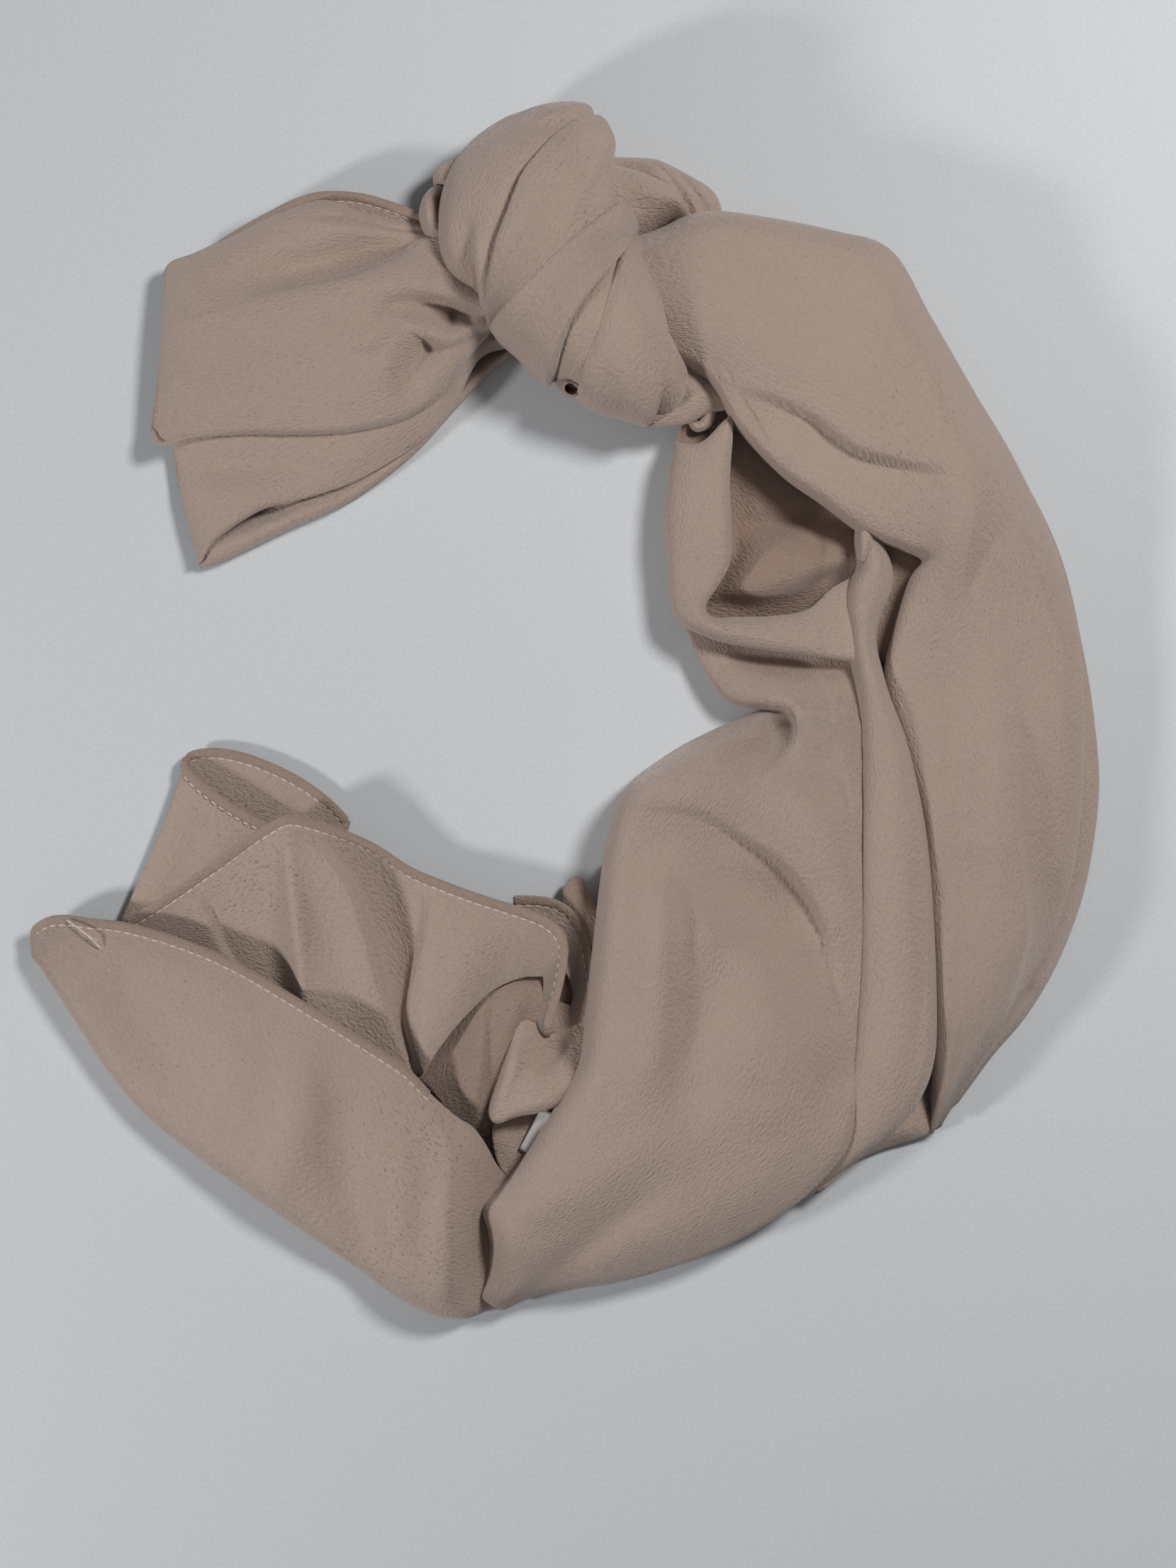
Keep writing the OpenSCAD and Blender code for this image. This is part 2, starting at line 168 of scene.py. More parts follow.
def unevenness(xy, size):
    """Smooth irregular heights from -1 to 1, with waves about size long."""
    q = xy / size
    i = np.floor(q).astype(int)
    u = ease_in(q - i)
    a = LATTICE[i[:, 0] % 64, i[:, 1] % 64]
    b = LATTICE[(i[:, 0] + 1) % 64, i[:, 1] % 64]
    c = LATTICE[i[:, 0] % 64, (i[:, 1] + 1) % 64]
    d = LATTICE[(i[:, 0] + 1) % 64, (i[:, 1] + 1) % 64]
    return (a * (1 - u[:, 0]) + b * u[:, 0]) * (1 - u[:, 1]) + (c * (1 - u[:, 0]) + d * u[:, 0]) * u[:, 1]


def add_relief(grid, weight, folds, rough):
    """Raises a grid by its folds and by a slight unevenness, as far as weight allows at each point.
    The waves and the smaller ripples are read from two different parts of the lattice."""
    xy = grid[:, :, :2].reshape(-1, 2)
    waves, ripples = unevenness(xy + 700, 19), unevenness(xy + 300, 7)
    extra = relief(xy, folds) + rough * (waves + 0.25 * ripples)
    grid[:, :, 2] += extra.reshape(grid.shape[:2]) * weight


# ---------------------------------------------------------------- shapes of cloth

def section(width, tops, rims, base, radii, n, under):
    """One cross-section of a draped stretch, as n rows of (share across, height, weight of the relief).
    tops are the heights across it, rims the heights of its two rolled edges, and radii how round those are.
    under is how far the cloth reaches back below it from each edge, as a share of half the width."""
    f = 0.5 - 0.5 * np.cos(np.linspace(0, math.pi, 160))
    level = rims[0] + (rims[1] - rims[0]) * f
    rise = quarter(f * width / radii[0]) * quarter((1 - f) * width / radii[1])
    crown = spline(tops, f * (len(tops) - 1))[:, 0]
    top = np.stack([f, level + (crown - level) * rise, rise], axis=1)
    low = quarter(f * width / UNDERSIDE_ROUND) * quarter((1 - f) * width / UNDERSIDE_ROUND)
    bottom = np.stack([f, level + (base - level) * low, 0 * f], axis=1)
    left = bottom[(f > 0) & (f <= 0.5 * under[0])][::-1]
    right = bottom[(f < 1) & (f >= 1 - 0.5 * under[1])][::-1]
    ring = np.concatenate([left, top, right])
    path = lengths(ring[:, :2] * [width, 1])
    return points_at(np.linspace(0, path[-1], n), path, ring)


def per_station(values, count):
    """A row of values for each station, where one row alone holds for all of them."""
    values = np.asarray(values, float)
    return values if values.ndim == 2 else np.tile(values, (count, 1))


def stretch(stations, tops, rims=(6, 6), base=0.8, radii=(10, 10), folds=(), ends=(0, 0), flat_z=3,
            under=(1, 1), rough=0.0, step=STEP):
    """A draped stretch over its stations, each a row of points from one edge across to the other.
    tops, rims and radii are one row for all of it, or a row for each station. ends are how far in from
    each end it thins out to a flat fold at flat_z; 0 leaves an end open."""
    stations = np.asarray(stations, float)
    tops, rims, radii = (per_station(v, len(stations)) for v in (tops, rims, radii))
    t = station_parameters(stations, step)
    rows, high, rim, bend = spline(stations, t), spline(tops, t), spline(rims, t), spline(radii, t)
    widths = np.array([lengths(r)[-1] for r in rows])
    n = int((widths.max() * 2 + EDGE_ALLOWANCE) / step)
    middle = rows.mean(axis=1)
    path = lengths(middle)
    grid, weight = [], []
    for i, row in enumerate(rows):
        s = section(max(widths[i], 1.0), high[i], rim[i], base, bend[i], n, under)
        xy = spline(row, s[:, 0] * (len(row) - 1))
        z = s[:, 1]
        for end, gone in zip(ends, (path[i], path[-1] - path[i])):
            if end:
                z = flat_z + (z - flat_z) * max(LEAST_END, quarter(gone / end))
        grid.append(np.column_stack([xy, z]))
        weight.append(s[:, 2])
    grid, weight = np.array(grid), np.array(weight)
    add_relief(grid, weight, folds, rough)
    grid[:, :, 2] = np.maximum(grid[:, :, 2], LOWEST)
    return grid


def roll(centre, widths, tops, base=0.8, rim=0.45, **more):
    """A round roll of cloth along a centre line, with its width and height at each point of the line."""
    p = np.asarray(centre, float)
    along = np.gradient(p, axis=0)
    along /= np.linalg.norm(along, axis=1)[:, None]
    side = np.column_stack([-along[:, 1], along[:, 0]]) * np.asarray(widths, float)[:, None] / 2
    stations = np.stack([p + side, p, p - side], axis=1)
    rims = [[base + rim * (h - base)] * 2 for h in tops]
    half = max(widths) / 2
    return stretch(stations, [[h] * 3 for h in tops], rims, base, (half, half), **more)


def net(stations, folds=(), rough=0.0, edge=0.0, step=STEP):
    """A free sheet through a net of (x, y, z) points: stations along it, each a row of points across.
    The relief fades out over edge from the first column."""
    stations = np.asarray(stations, float)
    t = station_parameters(stations, step)
    rows = spline(stations, t)
    fine = np.linspace(0, rows.shape[1] - 1, 40 * rows.shape[1])
    dense = [spline(r, fine) for r in rows]
    n = max(3, int(max(lengths(d)[-1] for d in dense) / step) + 1)
    grid = np.array([evenly(d, n) for d in dense])
    weight = np.ones(grid.shape[:2])
    if edge:
        across = np.array([lengths(r) for r in grid])
        weight = ease_in(across / edge)
    add_relief(grid, weight, folds, rough)
    grid[:, :, 2] = np.maximum(grid[:, :, 2], LOWEST)
    return grid


# ---------------------------------------------------------------- the knot's round shape

KNOT_AT = np.array([-5.0, 141.0])
KNOT_TOP = 45.5
KNOT_WAIST = 17.0       # height at which the knot is widest
KNOT_SQUARE = 2.7       # 2 makes the knot's top an ellipse in section, and more makes it squarer
KNOT_LESS = 1.3         # how far the wrap's base lies inside the knot's outline
PLEAT_EDGE = 1.6        # width of a pleat's rounded edge
PLEAT_DROP = 1.1        # how far that edge turns down
OVER_REACH = 9          # how far in from its edge a pleat lies raised over its neighbour
UNDER_REACH = 5.5       # how far in it is pressed down under its neighbour
FULL_PUFF = 16          # width from which a pleat puffs out fully
KNOT_OUTLINE = [
    (-24, 120.5), (-32, 129), (-38, 140), (-40, 150), (-39.5, 160), (-36.5, 170), (-30, 179), (-20, 186),
    (-11, 189), (-2, 190), (6, 188.6), (11, 185), (14.2, 180), (14.2, 172.5), (17.5, 163.5), (20.4, 157),
    (21.5, 148), (25.4, 140), (31, 130), (36.6, 119), (39.4, 108), (37, 96), (28.4, 90.6), (19, 92.6),
    (12, 94), (6, 97), (1, 100.5), (-4, 103), (-10, 106.5), (-14, 110), (-19.5, 115)]


def knot_radius(angle):
    """Distance from the knot's middle to its outline, at angles about it."""
    n = len(KNOT_OUTLINE)
    ring = np.array(KNOT_OUTLINE * 3, float)
    fine = spline(ring, np.linspace(n, 2 * n, 40 * n)) - KNOT_AT
    around = np.arctan2(fine[:, 1], fine[:, 0])
    order = np.argsort(around)
    far = np.hypot(fine[:, 0], fine[:, 1])[order]
    return np.interp(angle, around[order], far, period=2 * math.pi) - KNOT_LESS


def on_knot(xy, size=1.0):
    """Points in plan put onto the knot: inside its outline on its top, and past it round to its underside."""
    d = xy - KNOT_AT
    far = np.maximum(np.hypot(d[..., 0], d[..., 1]), 1e-6)
    rim = knot_radius(np.arctan2(d[..., 1], d[..., 0]).ravel()).reshape(far.shape) * size
    r = far / rim
    inside = np.where(r <= 1, r, np.clip(2 - r, 0.3, 1))
    dome = np.sqrt(1 - inside ** KNOT_SQUARE)
    z = np.where(r <= 1, KNOT_WAIST + (KNOT_TOP * size - KNOT_WAIST) * dome, KNOT_WAIST * (1 - 0.9 * dome))
    plan = KNOT_AT + d / far[..., None] * (inside * rim)[..., None]
    return np.concatenate([plan, z[..., None]], axis=-1)


def normals(grid):
    """The direction square to a grid's surface, at each of its points."""
    along, across = np.gradient(grid, axis=0), np.gradient(grid, axis=1)
    n = np.cross(along, across)
    n /= np.maximum(np.linalg.norm(n, axis=2, keepdims=True), 1e-9)
    return n


def spread(line, n):
    """n points spaced evenly along a line of (x, y, z, ...) points, with their lengths along it."""
    s = lengths(line[:, :3])
    at = np.linspace(0, s[-1], n)
    return at, points_at(at, s, line)


def pleat(one, other, sides, folds=(), puff=1.0, size=1.0, step=1.3):
    """A pleat of the knot between two lines in plan. sides says how each side ends: above 0 it lies that high
    over its neighbour, below 0 that far under it, and at 0 it runs on round the knot."""
    stations = np.stack([np.asarray(one, float), np.asarray(other, float)], axis=1)
    lines = spline(stations, np.linspace(0, len(stations) - 1, 240))
    f = np.linspace(0, 1, 90)[None, :, None]
    plan = lines[:, :1] * (1 - f) + lines[:, 1:] * f
    solid = np.concatenate([on_knot(plan, size), plan], axis=2)
    n_along = int(max(lengths(solid[:, k, :3])[-1] for k in (0, 45, 89)) / step)
    solid = np.stack([spread(solid[:, k], n_along)[1] for k in range(solid.shape[1])], axis=1)
    n_across = max(4, int(max(lengths(r[:, :3])[-1] for r in solid) / step))
    rows, lift = [], []
    for r in solid:
        at, row = spread(r, n_across)
        rows.append(row)
        whole = max(at[-1], 1e-6)
        up = puff * np.sin(math.pi * at / whole) * min(1, whole / FULL_PUFF)
        for high, d in zip(sides, (at, whole - at)):
            if high > 0:
                edge = quarter(d / PLEAT_EDGE)
                up = up + high * edge * np.exp(-(d / OVER_REACH) ** 2) - PLEAT_DROP * (1 - edge)
            elif high < 0:
                up = up + high * np.exp(-(d / UNDER_REACH) ** 2)
        lift.append(up)
    solid = np.array(rows)
    lift = np.array(lift) + relief(solid[:, :, 3:].reshape(-1, 2), folds).reshape(solid.shape[:2])
    grid = solid[:, :, :3]
    n = normals(grid)
    if n[:, :, 2][grid[:, :, 2] > KNOT_WAIST].sum() < 0:
        n = -n
    grid = grid + n * lift[:, :, None]
    grid[:, :, 2] = np.maximum(grid[:, :, 2], LOWEST)
    return grid


# ---------------------------------------------------------------- meshes

def outward(grid, closed):
    """Whether the faces of a grid, wound along and then across, look up or out of it."""
    g = np.concatenate([grid, grid[:, :1]], axis=1) if closed else grid
    d1, d2 = g[1:, 1:] - g[:-1, :-1], g[:-1, 1:] - g[1:, :-1]
    face = np.cross(d1, d2)
    if closed:
        middle = 0.25 * (g[1:, 1:] + g[:-1, :-1] + g[:-1, 1:] + g[1:, :-1]) - grid.mean(axis=1)[:-1, None]
        return (face * middle).sum() > 0
    return face[:, :, 2].sum() > 0


def grid_object(name, grid, closed=False, shell=True):
    """A mesh through a grid of points, with a map called weave that measures the cloth in metres."""
    rows, cols = grid.shape[:2]
    g = np.concatenate([grid, grid[:, :1]], axis=1) if closed else grid
    along = np.concatenate([[0], np.cumsum(np.linalg.norm(np.diff(g, axis=0), axis=2).mean(axis=1))])
    across = np.concatenate([[0], np.cumsum(np.linalg.norm(np.diff(g, axis=1), axis=2).mean(axis=0))])
    flip = outward(grid, closed)
    faces, flat = [], []
    for i in range(rows - 1):
        for k in range(g.shape[1] - 1):
            corners = [(i, k), (i + 1, k), (i + 1, k + 1), (i, k + 1)]
            if flip:
                corners.reverse()
            faces.append([a * cols + b % cols for a, b in corners])
            flat += [(along[a], across[b]) for a, b in corners]
    mesh = bpy.data.meshes.new(name)
    mesh.from_pydata((grid.reshape(-1, 3) * MM).tolist(), [], faces)
    mesh.uv_layers.new(name="weave").data.foreach_set("uv", (np.array(flat) * MM).ravel())
    mesh.polygons.foreach_set("use_smooth", [True] * len(mesh.polygons))
    obj = bpy.data.objects.new(name, mesh)
    bpy.context.scene.collection.objects.link(obj)
    if shell:
        thick = obj.modifiers.new("cloth_thickness", "SOLIDIFY")
        thick.thickness = CLOTH_T * MM
        thick.offset = -1
    return obj


def bound_to(obj, body):
    """Rides on a body; a piece of a joint listed in BENDS stays on its own, with its placement baked into its
    mesh.
    """
    if body in BENDS:
        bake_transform(obj)
    else:
        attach(obj, body)


def cloth(name, grid, body="root", nodes=(), closed=True, material="crepe"):
    """A stretch of the cloth panel: its mesh, finish, body and the CAD nodes it stands for.
    The cut isn't known, so the flat size worked out here is only what this mesh measures along its surface;
    nothing uses it."""
    obj = grid_object(name, grid, closed)
    obj.data.materials.append(MATERIALS[material])
    bound_to(obj, body)
    if nodes:
        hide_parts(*nodes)
    g = np.concatenate([grid, grid[:, :1]], axis=1) if closed else grid
    width = max(lengths(r)[-1] for r in g)
    long = max(lengths(g[:, k])[-1] for k in range(g.shape[1]))
    area = 0.5 * np.linalg.norm(np.cross(g[1:, 1:] - g[:-1, :-1], g[:-1, 1:] - g[1:, :-1]), axis=2).sum()
    width, long = max(width, LEAST_FLAT) * MM, max(long, LEAST_FLAT) * MM
    area = min(max(area * MM * MM, LEAST_SHARE * width * long), width * long)
    return obj


def tube(line, half_w, half_h, side=None, sides=12):
    """A flattened tube along a line of (x, y, z) points. side is the way across it at each point."""
    p = np.asarray(line, float)
    along = np.gradient(p, axis=0)
    along /= np.linalg.norm(along, axis=1)[:, None]
    if side is None:
        side = np.cross([0, 0, 1.0], along)
    side = side - (side * along).sum(axis=1)[:, None] * along
    side /= np.maximum(np.linalg.norm(side, axis=1), 1e-6)[:, None]
    up = np.cross(along, side)
    a = np.linspace(0, 2 * math.pi, sides, endpoint=False)[None, :, None]
    taper = np.ones(len(p))
    taper[[0, -1]] = 0.15
    flat = side[:, None] * np.cos(a) * half_w + up[:, None] * np.sin(a) * half_h
    return p[:, None] + flat * taper[:, None, None]


def hem(name, grid, body, nodes, thread_nodes):
    """A rolled hem along a sheet's first column, on its surface, and the row of stitches that holds it."""
    n = normals(grid)
    hem_at, seam_at, way = [], [], []
    for row, up in zip(grid, n):
        s = lengths(row)
        way.append(row[2] - row[0])
        lift = up[:3].mean(axis=0)
        lift = lift if lift[2] > 0 else -lift
        for line, far, high in ((hem_at, HEM_IN, HEM_UP), (seam_at, SEAM_IN, SEAM_UP)):
            line.append(points_at(far, s, row) + lift * high)
    hem_at = evenly(np.hstack([hem_at, way]), 3 * len(way))
    strip = grid_object(
        name, tube(hem_at[:, :3], HEM_W / 2, HEM_T / 2, hem_at[:, 3:]), closed=True, shell=False)
    strip.data.materials.append(MATERIALS["hem"])
    bound_to(strip, body)
    if nodes:
        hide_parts(*nodes)
    stitches(name + "_stitches", np.array(seam_at), body, thread_nodes)
    return strip


def stitches(name, line, body, nodes):
    """A row of single stitches along a line, as one piece."""
    s = lengths(line)
    verts, faces = [], []
    ring = 6
    for start in np.arange(0.5, s[-1] - STITCH_LONG, STITCH):
        ends = [points_at(at, s, line) for at in (start, start + STITCH_LONG)]
        along = (ends[1] - ends[0]) / max(np.linalg.norm(ends[1] - ends[0]), 1e-6)
        side = np.cross([0, 0, 1.0], along)
        up = np.cross(along, side)
        first = len(verts)
        for share, size in ((0, 0.35), (0.15, 0.9), (0.5, 1.15), (0.85, 0.9), (1, 0.35)):
            middle = ends[0] + (ends[1] - ends[0]) * share
            for k in range(ring):
                a = 2 * math.pi * k / ring
                verts.append(middle + (side * math.cos(a) + up * math.sin(a)) * THREAD_R * size * 1.3)
        for i in range(4):
            here = first + i * ring
            there = here + ring
            for k in range(ring):
                j = (k + 1) % ring
                faces.append([here + k, here + j, there + j, there + k])
        faces.append([first + k for k in range(ring)][::-1])
        faces.append([first + 4 * ring + k for k in range(ring)])
    mesh = bpy.data.meshes.new(name)
    mesh.from_pydata((np.array(verts) * MM).tolist(), [], faces)
    mesh.polygons.foreach_set("use_smooth", [True] * len(mesh.polygons))
    obj = bpy.data.objects.new(name, mesh)
    bpy.context.scene.collection.objects.link(obj)
    obj.data.materials.append(MATERIALS["thread"])
    bound_to(obj, body)
    if nodes:
        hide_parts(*nodes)
    return obj


# ---------------------------------------------------------------- materials

def nodes_of(name):
    """A new material, its node tree and its shader."""
    material = bpy.data.materials.new(name)
    material.use_nodes = True
    tree = material.node_tree
    return material, tree, tree.nodes["Principled BSDF"]


def crepe(name, dark, light, grain=1.0):
    """Crepe chiffon: a pebbled weave, a soft sheen, and faint uneven tone."""
    material, tree, shader = nodes_of(name)
    new, join = tree.nodes.new, tree.links.new
    weave = new("ShaderNodeUVMap")
    weave.uv_map = "weave"
    place = new("ShaderNodeMapping")
    place.inputs["Scale"].default_value = (600 * grain, 1250 * grain, 1)
    place.inputs["Rotation"].default_value = (0, 0, 0.35)
    join(weave.outputs["UV"], place.inputs["Vector"])
    pebble = new("ShaderNodeTexNoise")
    pebble.inputs["Scale"].default_value = 1.0
    pebble.inputs["Detail"].default_value = 2.0
    pebble.inputs["Roughness"].default_value = 0.6
    join(place.outputs["Vector"], pebble.inputs["Vector"])
    where = new("ShaderNodeTexCoord")
    tone = new("ShaderNodeTexNoise")
    tone.inputs["Scale"].default_value = 14.0
    tone.inputs["Detail"].default_value = 3.0
    join(where.outputs["Object"], tone.inputs["Vector"])
    both = new("ShaderNodeMath")
    both.operation = "MULTIPLY_ADD"
    both.inputs[1].default_value = 1.6
    join(pebble.outputs["Fac"], both.inputs[0])
    join(tone.outputs["Fac"], both.inputs[2])
    ramp = new("ShaderNodeValToRGB")
    ramp.color_ramp.elements[0].position = 0.8
    ramp.color_ramp.elements[0].color = (*dark, 1)
    ramp.color_ramp.elements[1].position = 1.0
    ramp.color_ramp.elements[1].color = (*light, 1)
    join(both.outputs[0], ramp.inputs["Fac"])
    join(ramp.outputs["Color"], shader.inputs["Base Color"])
    bump = new("ShaderNodeBump")
    bump.inputs["Strength"].default_value = 1.0
    bump.inputs["Distance"].default_value = 0.0009
    join(pebble.outputs["Fac"], bump.inputs["Height"])
    join(bump.outputs["Normal"], shader.inputs["Normal"])
    shader.inputs["Roughness"].default_value = 0.72
    shader.inputs["Sheen Weight"].default_value = 0.4
    shader.inputs["Sheen Roughness"].default_value = 0.45
    shader.inputs["Sheen Tint"].default_value = (0.97, 0.95, 0.96, 1)
    shader.inputs["Specular IOR Level"].default_value = 0.3
    return material


def plain_weave(name, dark, light, scale, rough):
    """A fine even weave, for the thread, the label and the table."""
    material, tree, shader = nodes_of(name)
    new, join = tree.nodes.new, tree.links.new
    where = new("ShaderNodeTexCoord")
    noise = new("ShaderNodeTexNoise")
    noise.inputs["Scale"].default_value = scale
    noise.inputs["Detail"].default_value = 3.0
    join(where.outputs["Object"], noise.inputs["Vector"])
    ramp = new("ShaderNodeValToRGB")
    ramp.color_ramp.elements[0].position = 0.3
    ramp.color_ramp.elements[0].color = (*dark, 1)
    ramp.color_ramp.elements[1].position = 0.7
    ramp.color_ramp.elements[1].color = (*light, 1)
    join(noise.outputs["Fac"], ramp.inputs["Fac"])
    join(ramp.outputs["Color"], shader.inputs["Base Color"])
    bump = new("ShaderNodeBump")
    bump.inputs["Strength"].default_value = 0.2
    bump.inputs["Distance"].default_value = 0.0001
    join(noise.outputs["Fac"], bump.inputs["Height"])
    join(bump.outputs["Normal"], shader.inputs["Normal"])
    shader.inputs["Roughness"].default_value = rough
    return material


MATERIALS = {
    "crepe": crepe("crepe", (0.258, 0.184, 0.145), (0.447, 0.339, 0.28)),
    # the second crepe is a darker copy of the same cloth: painted shade for the hollows, insides and tucks it
    # is put on
    "crepe_painted_shade": crepe("crepe_painted_shade", (0.245, 0.165, 0.125), (0.345, 0.245, 0.195)),
    "hem": crepe("hem", (0.27, 0.19, 0.148), (0.37, 0.27, 0.215), 1.2),
    "thread": plain_weave("thread", (0.6, 0.5, 0.42), (0.76, 0.66, 0.57), 900, 0.6),
    "label": plain_weave("label", (0.82, 0.82, 0.82), (0.92, 0.92, 0.91), 1500, 0.45),
    "table": plain_weave("table", (0.63, 0.66, 0.69), (0.68, 0.71, 0.735), 900, 0.5)}

LOOP_START, LOOP_END = (-0.038, 0.136, 0.010), (-0.070, 0.136, 0.010)
TIP_HINGE = np.array([-0.127, -0.094, 0.012])
TIP_WAY = np.array([-0.788, 0.616, 0.0])
TIP_BEND = 0.014
BENDS = {
    "left_loop": {"start": LOOP_START, "end": LOOP_END},
    "tail_tip": {
        "start": tuple(TIP_HINGE - TIP_BEND * TIP_WAY),
        "end": tuple(TIP_HINGE + TIP_BEND * TIP_WAY)}}


# ---------------------------------------------------------------- the loop left of the knot

def loop_layers():
    under = [
        [(-125, 134), (-122, 90), (-116, 47)], [(-112, 143), (-111, 95), (-108.7, 48.9)],
        [(-98, 150), (-98, 100), (-98.5, 53.8)], [(-85, 153), (-85, 105), (-86, 59.8)],
        [(-72, 153), (-72, 108), (-72, 66)], [(-60, 151), (-60, 110), (-60.5, 73.4)],
        [(-48, 149), (-48, 115), (-48, 83.4)], [(-38, 145), (-37, 121), (-36.5, 96)],
        [(-27, 138), (-26, 124), (-26.5, 107)], [(-17, 134), (-17, 124), (-18, 114)]]
    cloth(
        "loop_under_layer", stretch(
            under, [3, 3.5, 3, 3, 8], (2.5, 3), 0.8, (6, 3.5), ends=(8, 0), flat_z=2, folds=[
                ("soft", 3, [
                    (-112, 53, 1.5), (-100, 57, 2.5), (-90, 61, 2.5), (-80, 65, 1.5), (-70, 69, 0)]),
                ("soft", 3.4, [(-110, 58, -1), (-100, 63, -3), (-92, 66, -3), (-86, 68, 0)])],
            rough=0.5),
        "left_loop", ["loop_under_layer", "loop_gather"])
    middle = [
        [(-126.5, 112), (-123.5, 78), (-115.8, 47.6)], [(-117, 116), (-114, 84), (-111, 55)],
        [(-104, 119), (-101, 90), (-97, 64.4)], [(-89, 122), (-88, 94), (-86, 67.4)],
        [(-74, 124), (-72, 98), (-70, 72.5)], [(-62, 126), (-60, 102), (-59, 78)],
        [(-51, 128), (-50, 106), (-47.5, 85.6)], [(-41, 129), (-39, 113), (-37, 96)],
        [(-30, 128), (-28, 119), (-28, 112)], [(-20, 126), (-18, 121), (-18, 116)]]
    cloth(
        "loop_middle_layer", stretch(
            middle,
            [
                [8, 9, 9, 9, 9], [9, 11, 12, 12, 12], [9, 12, 13, 14, 13], [10, 12, 13, 14, 12],
                [10, 12, 14, 14, 10], [10, 12, 14, 14, 10], [10, 13, 15, 14, 10], [10, 13, 15, 15, 11],
                [10, 13, 15, 15, 11], [10, 13, 14, 14, 11]],
            (6, 10.5), 6.5, (8, 3), ends=(9, 0), flat_z=5.5, under=(0.4, 1), folds=[
                ("soft", 6, [(-122, 78, -1.5), (-100, 78, -3.4), (-80, 80, -2.4), (-60, 88, 0)]),
                ("soft", 7, [(-84, 74, 0), (-72, 80, 1.6), (-60, 84, 1.2)])],
            rough=0.6),
        "left_loop", ["loop_middle_layer"])
    upper = [
        [(-126.7, 138.6), (-127.8, 114), (-130.7, 90.4)], [(-124.4, 142.2), (-126, 114.4), (-127.4, 84.8)],
        [(-117, 144.8), (-118.5, 115), (-118.5, 86.9)], [(-103, 151.3), (-103, 118), (-102.5, 88.3)],
        [(-88, 158.4), (-87, 122), (-86, 88.2)], [(-76, 161.4), (-73, 125), (-71, 88.6)],
        [(-64, 157.4), (-60, 126), (-57, 91)], [(-50, 154.6), (-47, 126), (-45.4, 95.7)],
        [(-39, 153), (-36, 130), (-34.7, 107.2)], [(-25, 149), (-23.5, 134), (-24, 119.6)],
        [(-15, 146), (-14, 134), (-14, 124)]]
    tops = [
        [11, 13, 14, 14, 12], [11, 13, 14, 14, 12], [14, 17, 18, 18, 15], [15, 20, 21, 21, 17],
        [16, 20, 22, 22, 18], [17, 20, 22, 23, 19], [17, 20, 22, 24, 20], [18, 20, 22, 23, 20],
        [18, 20, 22, 22, 19], [18, 20, 21, 21, 18], [18, 20, 20, 20, 18]]
    folds = [
        ("ledge", 5, [
            (-38, 150.4, 2.2), (-48, 150.4, 2.4), (-60, 151.6, 2.2), (-74, 153.9, 1.6), (-88, 155.5, 0)]),
        ("soft", 6, [
            (-38, 149, -3), (-50, 147, -6.4), (-62, 144, -8), (-74, 141, -7.6), (-88, 138.5, -5.6),
            (-104, 134, -2.4), (-116, 130, 0)]),
        ("ledge", 15, [
            (-34, 149.4, 5.4), (-44.5, 148.4, 6), (-51, 144.4, 6), (-59, 140.2, 5.6), (-66, 137.5, 5),
            (-74, 135.6, 4), (-84, 133.4, 2.8), (-94, 131, 1.4), (-105, 127.8, 0)]),
        ("ledge", 8, [(-60, 127, 0), (-52, 130, 2), (-43, 130, 4), (-34, 127.4, 5), (-26, 125, 5)]),
        ("soft", 4.2, [(-60, 124, 0), (-53, 127, -3), (-45, 127.5, -5), (-38, 125.5, -6), (-32, 124, -5)]),
        ("soft", 1.8, [(-35.6, 126, -2.5), (-35.8, 122, -3), (-36.5, 119, 0)]),
        ("ledge", 7, [
            (-45, 117.5, 2), (-43, 116.4, 4), (-39.6, 114.8, 4.5), (-34.6, 115.6, 4.5), (-30, 119, 3.6),
            (-24, 121.4, 3)]),
        ("soft", 5, [(-44, 113.5, -6), (-48, 109, -5), (-51, 103, -2.6), (-54, 98, 0)]),
        ("soft", 9, [(-58, 118, 0), (-55, 112, 3), (-60, 104, 2.6), (-72, 98, 0)]),
        ("soft", 6, [(-46, 106, 0), (-39, 108, 2.2), (-34, 112, 2.2), (-28, 117, 1)]),
        ("soft", 8, [(-124, 104, 0), (-110, 106, -1.4), (-90, 108, -1.4), (-74, 108, 0)]),
        ("soft", 9, [(-112, 126, 0.6), (-96, 121, 1.6), (-80, 118, 1.8), (-66, 114, 1.2)])]
    cloth(
        "loop_upper_layer",
        stretch(upper, tops, (10, 14.5), 8.0, (7, 3), folds, (5, 0), 9.5, rough=0.7, step=1.15),
        "left_loop", ["loop_upper_layer"])
    edge = [
        [(-114, 145.6, 9), (-112, 140, 9), (-110, 134, 8)],
        [(-103, 152.6, 10.5), (-101.5, 147, 10), (-100, 138, 9)],
        [(-92, 158.4, 12), (-90.6, 152, 11), (-89, 142, 10)],
        [(-84, 162, 13), (-83, 155, 12), (-82, 145, 10)],
        [(-76, 163.8, 13.5), (-75.6, 157, 12.6), (-75, 148, 11)],
        [(-65, 163.2, 13.5), (-66, 156, 12.6), (-68, 148, 11)],
        [(-55, 160.5, 13.5), (-56.6, 154, 12.6), (-59, 147, 11)],
        [(-47, 157.4, 13), (-48, 152, 12), (-49, 146, 11)],
        [(-40, 154.6, 12), (-40, 150, 12), (-40, 145, 11)]]
    grid = net(edge, step=1.2)
    cloth("loop_hem_layer", grid, "left_loop", closed=False)
    hem("loop_hem", grid, "left_loop", ["loop_hem"], ["loop_hem_thread"])


# ---------------------------------------------------------------- the knot

